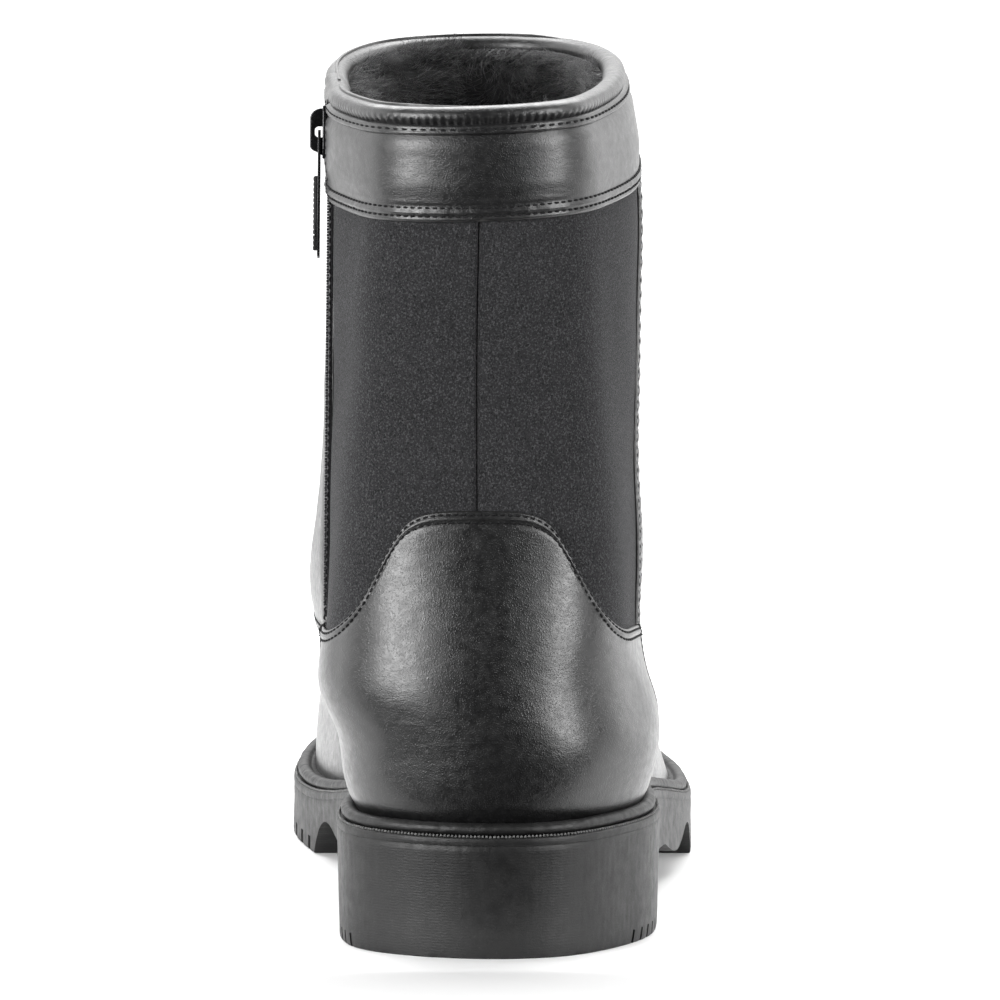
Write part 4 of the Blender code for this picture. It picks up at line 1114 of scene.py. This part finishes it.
def make_sole():
    grid = wall_rows()
    faces = [tuple(f) for f in grid_faces(len(grid), WALL_STATIONS, ring=True)[:, ::-1]]
    faces += side_to_side(0, False) + side_to_side((len(grid) - 1) * WALL_STATIONS, True)
    sole = add_mesh("sole_unit", np.concatenate(grid), faces, RUBBER, replaces=["outsole"])
    tools = [arch_tool(), groove_tool(), slit_tool()]
    cut_away(sole, tools)
    bake(sole, tools)
    sole.data.shade_smooth()
    sole.data.set_sharp_from_angle(angle=math.radians(40))


def make_welt():
    x, y, normal = outline(WELT_STATIONS)
    section = []
    for angle in np.radians(np.linspace(-105, 150, 15)):
        section.append((-3.1 + 1.9 * math.cos(angle), 0.3 + 1.7 * math.sin(angle)))
    section += [(-5.1, 1.0), (-7.2, 0.9), (-7.4, -1.0)]
    rows = []
    for out, up in section:
        spots = beside_outline(x, y, normal, out, sole_top(y) + up)
        rough = noise(spots, 2.2, 8) * 0.1 + noise(spots, 0.7, 9) * 0.05
        spots[:, :2] += normal * rough[:, None]
        spots[:, 2] += rough
        rows.append(spots)
    faces = grid_faces(len(rows), WELT_STATIONS, ring=True, tube=True)[:, TURNED]
    add_mesh("welt_bead", np.concatenate(rows), faces, WELT_RUBBER, replaces=["welt"])

    line = beside_outline(x, y, normal, -0.75, sole_top(y) - 1.2)
    sideways = noise(line, 1.6, 13) * 0.12
    line = line + np.stack([*(normal * sideways[:, None]).T, noise(line, 1.1, 14) * 0.1], axis=1)
    facing = np.stack([normal[:, 0] * 0.7, normal[:, 1] * 0.7, np.full(WELT_STATIONS, 0.7)], axis=1)
    closed = [(np.concatenate([line, line[:1]]), np.concatenate([facing, facing[:1]]))]
    thread_object("welt_stitching", closed, WELT_THREAD, pitch=1.0, length=0.75, radius=0.33)


# ---------------------------------------------------------------------------------------------------------
# Leather and fabric
# ---------------------------------------------------------------------------------------------------------

LAP = 2.2  # how far a lower layer runs on under the one on top of it
ZIP_ROW = 2.2  # rows of stitches, as distances from their border
VAMP_ROWS = (0.9, 2.9)
FOXING_ROWS = (0.95, 3.0)
FRONT_ROW = 2.3
STRIP_ROW = 1.5
BAND_ROWS = (1.6, 3.8)
BAND_END_ROW = 2.4
HEM_ROW = 1.4
TACK_ROW = 1.6
TACKS = (0.8, 1.5, 2.2, 2.9)


def make_shaft():
    """The fabric panels. Returns the row of stitches beside the zip."""
    panels = (("lateral", fixed(0), side_seam(LAP)), ("medial", zip_edge(-ZIP_GAP), fixed(0)))
    for side, start, end in panels:
        cloth = Patch(start, end, foot_top(-LAP), band_edge(0, LAP))
        seam = cloth.left if side == "lateral" else cloth.right
        height = -0.45 - 1.0 * worn_down(seam, 1.2) ** 2 + ridge(seam, 2.2, 1.3, 0.35)
        height = height + noise(cloth.points, 26, 11) * 0.25 + noise(cloth.points, 9, 12) * 0.07
        if side == "medial":
            height = height + rolled_edge(cloth.left, 1.2) + groove(cloth.left, ZIP_ROW, 0.5, 0.25)
            height = height - 1.3 * smooth(1 - cloth.left / 5)
            threads = [cloth.line("left", ZIP_ROW)]
        cloth.lift(height)
        patch_object(f"shaft_fabric_{side}", cloth, FABRIC, replaces=[f"shaft_panel_{side}"])
    return threads


def make_vamp():
    vamp = Patch(foxing_front(True, -LAP), foxing_front(False, LAP, 2), fixed(0), foot_top(0.2))
    height = 0.15 + leather_surface(vamp.points, 21) + rolled_edge(vamp.high, 0.8)
    for row in VAMP_ROWS:
        height = height + groove(vamp.high, row, 0.3, 0.3)
    vamp.lift(height + ridge(vamp.high, 1.9, 0.6, 0.28))
    patch_object("vamp_leather", vamp, LEATHER, replaces=["vamp"])
    return [vamp.line("high", row) for row in VAMP_ROWS]


def make_foxing():
    foxing = Patch(foxing_front(False, -0.1), foxing_front(True, 0.1), fixed(0), foot_top(0.2))
    borders = np.minimum(foxing.left, foxing.right)
    height = 0.75 + leather_surface(foxing.points, 31) + rolled_edge(np.minimum(borders, foxing.high), 0.9)
    first, second = FOXING_ROWS
    for distance in (foxing.high, borders):
        height = height + groove(distance, first, 0.3, 0.3) + groove(distance, second, 0.3, 0.35)
        height = height + ridge(distance, 2.0, 0.6, 0.3)
    foxing.lift(height - 0.5 * worn_down(foxing.low, 5))
    patch_object("foxing_leather", foxing, LEATHER, replaces=["heel_foxing"])
    return foxing


def bar_tacks(foxing):
    """Short rows of stitches close together, at the top of each of the foxing's front edges."""
    tacks = []
    for side in ("left", "right"):
        facing = foxing.line(side, TACK_ROW)[1][-9:-2]
        tacks += [(foxing.line(side, row)[0][-9:-2] + facing * 0.15, facing) for row in TACKS]
    return tacks


def make_front():
    front = Patch(side_seam(EDGE_STRIP - LAP), zip_edge(ZIP_GAP, 2), foot_top(-LAP), band_edge(0, LAP))
    height = leather_surface(front.points, 41) * 1.3 + rolled_edge(front.right, 1.3)
    height = height + groove(front.right, FRONT_ROW, 0.35, 0.3) + ridge(front.right, 1.2, 0.8, 0.25)
    front.lift(height - 1.2 * smooth(1 - front.right / 6))
    patch_object("front_leather", front, LEATHER, replaces=["front_panel"])
    return [front.line("right", FRONT_ROW)]


def make_edge_strip():
    strip = Patch(side_seam(-0.2), side_seam(EDGE_STRIP), foot_top(-LAP), band_edge(0, LAP), 0.6)
    borders = np.minimum(strip.left, strip.right)
    ripple = np.sin(strip.low * 2 * math.pi / 4.2 + noise(strip.points, 5, 51))
    pucker = 0.16 * ripple * np.clip(borders / 2, 0, 1)
    height = 0.35 + rolled_edge(borders, 0.9) + pucker + noise(strip.points, 4, 52) * 0.06
    for distance in (strip.left, strip.right):
        height = height + groove(distance, STRIP_ROW, 0.35, 0.4)
    strip.lift(height + ridge(strip.left, 3.4, 1.1, 0.3))
    patch_object("edge_strip_leather", strip, SOFT_LEATHER, replaces=["lateral_edge"])
    return [strip.line(side, STRIP_ROW) for side in ("left", "right")]


def make_band():
    band = Patch(zip_edge(-ZIP_GAP), zip_edge(ZIP_GAP, 2), band_edge(0, -0.6), band_edge(1, 1.2), 0.9)
    ends = np.minimum(band.left, band.right)
    wrinkle = ridge(band.low, 2.6, 1.5, noise(band.points * (1, 1, 0.35), 1.9, 61) * 0.2)
    first, second = BAND_ROWS
    height = 0.75 + rolled_edge(band.low, 1.1) + rolled_edge(ends, 1.2) + leather_surface(band.points, 62)
    height = height + groove(band.low, first, 0.32, 0.45) + groove(band.low, second, 0.36, 0.55) + wrinkle
    height = height + ridge(band.low, 2.7, 0.7, 0.4) + groove(ends, BAND_END_ROW, 0.35, 0.3)
    height = height + 0.5 * smooth((band.low - 5) / 5) * smooth(band.high / 5)
    band.lift(height - 1.4 * worn_down(band.high, 4.8))
    patch_object("band_leather", band, SOFT_LEATHER, replaces=["collar_band"])
    rows = [band.line("low", row) for row in BAND_ROWS]
    return rows + [band.line(side, BAND_END_ROW) for side in ("left", "right")]


def make_hem():
    """The binding's turned hem, below the roll and dipping behind it."""
    hem = Patch(zip_edge(-ZIP_GAP), zip_edge(ZIP_GAP, 2), roll_level(-4.2), roll_level(3.4), 0.5)
    height = 1.0 + rolled_edge(hem.low, 0.55) + groove(hem.low, 1.45, 0.35, 0.45)
    height = height + noise(hem.points, 3, 65) * 0.05
    hem.lift(height - 3.4 * smooth((hem.low - 2.0) / 1.6))
    patch_object("binding_hem", hem, SOFT_LEATHER, thickness=0.8)
    thread_object("hem_stitching", [hem.line("low", HEM_ROW)], THREAD, pitch=2.6, length=1.8)


def make_upper():
    threads = make_shaft() + make_vamp()
    foxing = make_foxing()
    for side in ("high", "left", "right"):
        threads += [foxing.line(side, row) for row in FOXING_ROWS]
    threads += make_front() + make_edge_strip() + make_band()
    make_hem()
    thread_object("seam_stitching", threads + bar_tacks(foxing), THREAD)


ROLL_REAR_END, ROLL_FRONT_END = 15.0, 6.0  # how far in front of the zip's line the roll's ends are
ROLL_STATIONS, ROLL_SIDES = 900, 30
ROLL_STITCH_PITCH = 2.0
ROLL_SEAM_TURN = 0.9


def make_binding():
    """The padded roll round the collar, pulled in along its seam. Its rear end lies over its front end."""
    start, end = (float(p_beside_zip(0.97, reach)) for reach in (ROLL_REAR_END, ROLL_FRONT_END))
    p = np.linspace(start, end + 2, ROLL_STATIONS)
    centres = UPPER.at(p, roll_level(0)(p), np.full(p.shape, ROLL_RADIUS - 0.4))
    run = run_along(centres)
    rear, front = smooth(1 - run / 16), smooth(1 - (run[-1] - run) / 16)
    centres[:, 2] += 1.1 * rear - 0.8 * front
    outwards = unit(np.cross(np.gradient(centres, axis=0), (0, 0, 1)))
    centres = centres + outwards * (0.9 * rear - 0.9 * front)[:, None]
    turn = np.linspace(0, 2 * math.pi, ROLL_SIDES, endpoint=False)
    to_end = np.minimum(run, run[-1] - run)
    end_round = np.sqrt(np.clip(1 - (1 - to_end / 2.4).clip(0, 1) ** 2, 0.004, 1))
    radius = ROLL_RADIUS * (1 - 0.16 * (rear + front)) * end_round
    pitch_wave = np.sin(run * 2 * math.pi / ROLL_STITCH_PITCH)[:, None]
    facing = np.cos(turn + ROLL_SEAM_TURN)[None, :]  # 1 low on the outside, where the seam is
    waist = ridge(1 - facing, 0, 0.35, -0.16) * (1 + 0.5 * pitch_wave)
    size = radius[:, None] * (1 + waist + 0.03 * np.cos(2 * turn)[None, :])
    sideways = np.cos(turn)[None, :, None] * outwards[:, None]
    upwards = np.sin(turn)[None, :, None] * np.array((0, 0, 1.0))
    points = centres[:, None] + size[..., None] * (sideways + upwards)
    lumps = noise(points, 7, 71) * 0.12 + noise(points, 2.2, 72) * 0.035
    points = points + lumps[..., None] * outwards[:, None]
    faces = [tuple(f[::-1]) for f in grid_faces(ROLL_STATIONS, ROLL_SIDES, ring=True)]
    last = ROLL_SIDES * (ROLL_STATIONS - 1)
    faces += [tuple(range(ROLL_SIDES)), tuple(range(last + ROLL_SIDES - 1, last - 1, -1))]
    roll = add_mesh("collar_roll", points.reshape(-1, 3), faces, SOFT_LEATHER,
                    replaces=["collar_binding"])


# ---------------------------------------------------------------------------------------------------------
# Inside
# ---------------------------------------------------------------------------------------------------------

FUR_BASE = 4.9  # depth of the fur's backing below the upper's surface
FUR_SEED = 19
FUR_BANDS = (  # from and to, as shares of the fur's height, number of strands, length
    (0.0, 0.6, 5500, 7.5),
    (0.6, 0.93, 15000, 9.5),
    (0.93, 1.0, 6500, 7),
)
HAIR_RADIUS = 0.085
HAIR_STEPS = 5
HAIR_SIDES = (0, 2.094, 4.189)
LINING_SEAM = -8.0  # the fur ends and the fleece begins this far above the foot's top seam


def hairs(roots, inward, downward, lengths, curl):
    """Curved tapering strands, three-sided, leaning from inward to their own `downward` direction."""
    spots = [roots]
    for k in range(1, HAIR_STEPS):
        share = k / (HAIR_STEPS - 1)
        heading = unit(inward * (1 - 0.75 * share) + downward * share * 1.1 + curl * share)
        spots.append(spots[-1] + heading * (lengths / (HAIR_STEPS - 1))[:, None])
    side = np.cross(inward, downward)
    side /= np.linalg.norm(side, axis=1, keepdims=True) + 1e-9
    other = np.cross(side, inward)
    rings = []
    for k, spot in enumerate(spots):
        thin = HAIR_RADIUS * (1 - 0.8 * (k / (HAIR_STEPS - 1)) ** 1.5)
        for a in HAIR_SIDES:
            rings.append(spot + (side * math.cos(a) + other * math.sin(a)) * thin)
    points = np.array(rings).transpose(1, 0, 2)
    one = grid_faces(HAIR_STEPS, 3, ring=True)
    faces = (one[None] + (np.arange(len(roots)) * 3 * HAIR_STEPS)[:, None, None]).reshape(-1, 4)
    return points.reshape(-1, 3), faces


def make_fur_backing():
    fur = Patch(zip_edge(-7.0), zip_edge(7.0, 2), foot_top(LINING_SEAM + 2.2), roll_level(-0.4), 2.2)
    under_roll = smooth(1 - fur.high / 7)
    lumps = noise(fur.points, 4, 81) * 0.5 + noise(fur.points, 1.8, 82) * 0.3
    fur.lift(-(FUR_BASE + 3.2 + lumps - 2.9 * under_roll))
    patch_object("fur_backing", fur, FUR_BACKING, thickness=2.4, inner=True, replaces=["fur_lining"])
    return fur


def fur_roots(fur, rng):
    """Where strands start on the backing, their directions inwards and their lengths."""
    rows, columns = fur.p.shape
    roots, inward, lengths = [], [], []
    for low, high, count, long in FUR_BANDS:
        a, b = rng.uniform(0, 1, count), rng.uniform(low, high, count)
        column = np.interp(a, np.linspace(0, 1, columns), np.arange(columns)).astype(int)
        row = (b * (rows - 1)).astype(int)
        top = fur.v[-1, column]
        p = fur.p[row, column] + rng.normal(0, 0.004, count)
        v = np.minimum(fur.v[row, column] + rng.normal(0, 0.004, count), top)
        roots.append(UPPER.at(p, v, FUR_BASE + 2.4 - 2.0 * smooth(1 - (top - v) / 0.05)))
        inward.append(-UPPER.normal(p, v))
        lengths.append(long * rng.uniform(0.65, 1.15, count))
    return np.concatenate(roots), np.concatenate(inward), np.concatenate(lengths)


def make_fur():
    rng = np.random.default_rng(FUR_SEED)
    roots, inward, lengths = fur_roots(make_fur_backing(), rng)
    clump = np.stack([noise(roots, 7, seed) for seed in (91, 92, 93)], axis=1)
    around = unit(np.cross(inward, (0, 0, 1.0)))
    fall = np.array((0, 0, -0.55)) + around * (0.9 * noise(roots, 16, 94))[:, None]
    near_top = np.clip((roots[:, 2] - 205) / 15, 0, 1)[:, None]
    fall = fall + np.array((0, 0, 0.62)) * near_top
    curl = clump * 0.95 + rng.normal(0, 0.34, roots.shape)
    points, faces = hairs(roots, inward, fall, lengths, curl)
    add_mesh("fur_strands", points, faces, FUR)


def make_sock():
    foot = Patch(fixed(0), fixed(2), sole_line(3.4), foot_top(LINING_SEAM - 2.2), 2.4)
    foot.lift(-(4.8 + 2.6 - noise(foot.points, 3.4, 101) * 0.35 - noise(foot.points, 1.6, 102) * 0.25))
    patch_object("fleece_sock", foot, FLEECE, thickness=2.2, inner=True, replaces=["foot_lining"])


def make_footbed():
    low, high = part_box("footbed")
    start, end = low.y / MM + CENTRE[1], high.y / MM + CENTRE[1]
    widths = np.array(RINGS[0][6]) - 10.2
    t = np.linspace(0, math.pi, 160)[1:-1]
    across = np.linspace(-1, 1, 61)
    y = start + (end - start) * (1 - np.cos(t)) / 2
    half, middle = half_width(widths, t), through(MIDDLE, y)
    x = middle[:, None] + half[:, None] * across[None, :]
    y = np.repeat(y[:, None], len(across), axis=1)
    rim = (1 - np.abs(across))[None, :] * half[:, None]
    border = np.minimum(rim, np.minimum(y - start, end - y) + 0.3)
    crown = 1.5 * np.sqrt(np.clip(border / 3, 0, 1)) + 0.5 * smooth(border / 14)
    flat = np.stack([x, y, sole_top(y) + 3.2], axis=-1)
    up = np.array((0, 0, 1.0))
    pile = noise(flat, 2, 111) * 0.14 + noise(flat, 1, 112) * 0.08
    upper = flat + up * (crown + groove(border, 6.5, 0.7, 0.9) + pile)[..., None]
    lower = flat - up * (1.5 * np.sqrt(np.clip(border / 1.5, 0, 1)))[..., None]
    rows, columns = x.shape
    size = rows * columns
    faces = [tuple(f) for f in grid_faces(rows, columns)]
    faces += [tuple(i + size for i in f[::-1]) for f in grid_faces(rows, columns)]
    index = np.arange(size).reshape(rows, columns)
    loop = [*index[0], *index[1:, -1], *index[-1, -2::-1], *index[-2:0:-1, 0]]
    for i, j in zip(loop, loop[1:] + loop[:1]):
        faces.append((j, i, i + size, j + size))
    points = np.concatenate([upper.reshape(-1, 3), lower.reshape(-1, 3)])
    bed = add_mesh("fleece_footbed", points, faces, FLEECE, replaces=["footbed"])


# ---------------------------------------------------------------------------------------------------------
# Zip
# ---------------------------------------------------------------------------------------------------------

TOOTH_PITCH = 1.5
TAPE_LOW, TAPE_HIGH = TEETH_BOTTOM_Z - 6, TEETH_TOP_Z - 4.5
STOP_HEIGHT = 1.8
STOP_DEPTHS = (-1.6, 0.2)


def on_zip(points, z, out=0.0):
    """From (across, up, out) about a place on the zip's line to the last's frame."""
    across, up, outwards = zip_frame()
    points = np.asarray(points, float)
    base = np.array(zip_point(z)) + out * outwards
    return base + points[..., :1] * across + points[..., 1:2] * up + points[..., 2:] * outwards


def shape_from(bm_builder):
    bm = bmesh.new()
    bm_builder(bm)
    bmesh.ops.recalc_face_normals(bm, faces=bm.faces)
    points = np.array([v.co[:] for v in bm.verts])
    faces = [tuple(v.index for v in f.verts) for f in bm.faces]
    bm.free()
    return points, faces


def extruded(outline_points, low, high, round_edge=0.0, segments=2):
    """A flat outline extruded along its third axis with rounded edges, as points and faces in millimetres."""
    def build(bm):
        corners = [bm.verts.new((x, y, low)) for x, y in outline_points]
        face = bm.faces.new(corners)
        moved = bmesh.ops.extrude_face_region(bm, geom=[face])["geom"]
        top = [v for v in moved if isinstance(v, bmesh.types.BMVert)]
        bmesh.ops.translate(bm, vec=(0, 0, high - low), verts=top)
        if round_edge:
            bmesh.ops.bevel(bm, geom=list(bm.edges), offset=round_edge, segments=segments, profile=0.6,
                            affect="EDGES", clamp_overlap=True)
        bm.verts.index_update()

    return shape_from(build)


def rounded_box(x, y, z, edge):
    (x0, x1), (y0, y1), (z0, z1) = x, y, z
    return extruded([(x0, y0), (x1, y0), (x1, y1), (x0, y1)], z0, z1, edge, 3)


def make_tape(side, name):
    edges = sorted((side * 0.5, side * 8.6), reverse=True)
    tape = Patch(zip_edge(edges[0]), zip_edge(edges[1]), level(TAPE_LOW), level(TAPE_HIGH), 0.8)
    inner = tape.left if side < 0 else tape.right
    weave = 0.1 * np.sin(tape.low * 2 * math.pi / 1.5) * np.clip(1 - inner / 3, 0, 1)
    tape.lift(-2.35 + ridge(inner, 2.6, 0.35, 0.1) + weave)
    patch_object(f"zip_tape_{name}", tape, TAPE, thickness=0.6, replaces=[f"zipper_tape_{name}"])


def make_teeth(side, name):
    """A row of teeth on the cord that they are sewn round."""
    height = TEETH_TOP_Z - TEETH_BOTTOM_Z
    parts = []
    tooth = [(-0.62, -0.2), (-0.62, 0.2), (0.3, 0.34), (2.1, 0.3), (2.1, -0.3), (0.3, -0.34)]
    points, faces = extruded([(side * a, b) for a, b in tooth], -0.62, 0.62, 0.14)
    for k in range(int(height / TOOTH_PITCH)):
        z = TEETH_BOTTOM_Z + (k + (0.5 if side > 0 else 1.0)) * TOOTH_PITCH
        if z < TEETH_TOP_Z - 0.4:
            parts.append((on_zip(points + (0, 0, -0.35), z), faces))
    cord = [(1.5, -0.2), (1.5, height - 0.5), (2.3, height - 0.5), (2.3, -0.2)]
    points, faces = extruded([(side * a, b) for a, b in cord], -1.5, -0.45, 0.2)
    parts.append((on_zip(points, TEETH_BOTTOM_Z), faces))
    points, faces = join_points(parts)
    add_mesh(f"zip_teeth_row_{name}", points, faces, PLASTIC_TEETH,
             replaces=[f"zipper_teeth_{name}"])


def make_stop(name, node, across, z, edge):
    points, faces = rounded_box(across, (0, STOP_HEIGHT), STOP_DEPTHS, edge)
    add_mesh(name, on_zip(points, z), faces, PLASTIC_TEETH, replaces=[node])


def make_zip():
    for side, name in ((-1, "rear"), (1, "front")):
        make_tape(side, name)
        make_teeth(side, name)
        across = (side * 0.25, side * 2.2)
        make_stop(f"top_stop_{name}", f"zipper_top_stop_{name}", across, TEETH_TOP_Z + 0.3, 0.25)
    make_stop("bottom_stop", "zipper_bottom_stop", (-2.2, 2.2), TEETH_BOTTOM_Z - 2.26, 0.3)
    guard = Patch(zip_edge(13.0), zip_edge(-13.0), level(TAPE_LOW), level(TAPE_HIGH), 1.6)
    guard.lift(-3.1 - 0.15 * noise(guard.points, 8, 121))
    patch_object("zip_guard_leather", guard, SOFT_LEATHER, 0.8, replaces=["zipper_guard"])


SLIDER_HALF = 7.0
PULL_HALF_WIDTH = 2.9
PULL_LENGTH = 33.0
PULL_THICKNESS = 0.7
GRIP_FROM, GRIP_TO = -31.0, -11.5
GRIP_RIBS = 14
GRIP_GAP_AFTER = 2  # a deeper gap follows this rib
GRIP_HEIGHT = 1.1


def make_slider():
    parts = []
    plate = [(-2.6, -SLIDER_HALF), (2.6, -SLIDER_HALF), (3.3, -4.5), (3.6, 3.0), (3.55, 5.6),
             (2.7, SLIDER_HALF), (0.9, SLIDER_HALF), (0, 5.9), (-0.9, SLIDER_HALF), (-2.7, SLIDER_HALF),
             (-3.55, 5.6), (-3.6, 3.0), (-3.3, -4.5)]
    parts.append(extruded(plate, 0.5, 1.55, 0.4, 4))
    for side in (-1, 1):
        inner, outer = sorted((side * 2.65, side * 3.35))
        parts.append(rounded_box((inner, outer), (-6.6, 6.2), (-1.2, 0.8), 0.2))
    arch = [(-6.2, 1.2), (-6.0, 2.0), (-5.3, 3.0), (-4.9, 4.0), (-4.4, 4.6), (-3.8, 4.9), (3.8, 4.9),
            (4.7, 4.6), (5.5, 3.9), (6.0, 3.0), (6.2, 2.2), (6.2, 1.2), (1.4, 1.2), (1.4, 2.9), (0.8, 3.6),
            (-0.8, 3.6), (-1.4, 2.9), (-1.4, 1.2)]
    points, faces = extruded(arch, -0.85, 0.85, 0.3, 3)
    parts.append((points[:, (2, 0, 1)], faces))
    points, faces = join_points(parts)
    add_mesh("slider_body", on_zip(points, SLIDER_Z), faces, BLACK_METAL, "slider",
             replaces=["zipper_slider"])


def make_puller():
    half, end = PULL_HALF_WIDTH, -PULL_LENGTH
    tab = [(-half, -1.2), (-half + 0.5, 0), (-half + 1.3, 0.55), (half - 1.3, 0.55), (half - 0.5, 0),
           (half, -1.2), (half * 0.93, -9), (half, -12), (half, end + 2.2), (half - 0.7, end + 0.7),
           (half - 2, end), (-half + 2, end), (-half + 0.7, end + 0.7), (-half, end + 2.2), (-half, -12),
           (-half * 0.93, -9)]
    points, faces = extruded(tab, -PULL_THICKNESS / 2, PULL_THICKNESS / 2)
    points = on_zip(points, SLIDER_Z, PIVOT_OUT)
    pull = add_mesh("pull_tab", points, faces, BLACK_METAL, "puller", replaces=["zipper_puller"])
    points, faces = extruded([(-1.45, -6.1), (-1.45, -1.3), (-1.0, -0.7), (1.0, -0.7), (1.45, -1.3),
                              (1.45, -6.1), (1.0, -6.7), (-1.0, -6.7)], -2, 2)
    mesh = bpy.data.meshes.new("window_tool")
    mesh.from_pydata(to_row(on_zip(points, SLIDER_Z, PIVOT_OUT)).tolist(), [], faces)
    window = hidden("window_tool", mesh)
    cut_away(pull, [window])
    rounded = pull.modifiers.new("rounded", "BEVEL")
    rounded.width, rounded.segments, rounded.limit_method = 0.15 * MM, 3, "ANGLE"
    bake(pull, [window])

    step = (GRIP_TO - GRIP_FROM) / GRIP_RIBS
    face, foot = PULL_THICKNESS / 2 + GRIP_HEIGHT, PULL_THICKNESS / 2 + 0.05
    ribs = [(GRIP_FROM, foot), (GRIP_FROM, face - 0.3)]
    for i in range(GRIP_RIBS):
        base = GRIP_FROM + i * step
        dip = 0.75 if i == GRIP_GAP_AFTER else 0.2
        rib = ((0.15, 0.05), (0.5, 0), (0.8, 0.05), (0.9, dip))
        ribs += [(base + share * step, face - below) for share, below in rib]
    ribs += [(GRIP_TO, face - 0.4), (GRIP_TO, foot)]
    points, faces = extruded(ribs, -half + 0.5, half - 0.5, 0.12)
    points = on_zip(points[:, (2, 0, 1)], SLIDER_Z, PIVOT_OUT)
    grip = add_mesh("grip_ribs", points, faces, GRIP, "puller", replaces=["puller_grip"])
    grip.data.set_sharp_from_angle(angle=math.radians(35))


make_camera()
make_world()
make_lights()
make_floor()
make_flags()
make_sole()
make_welt()
make_upper()
make_binding()
make_fur()
make_sock()
make_footbed()
make_zip()
make_slider()
make_puller()
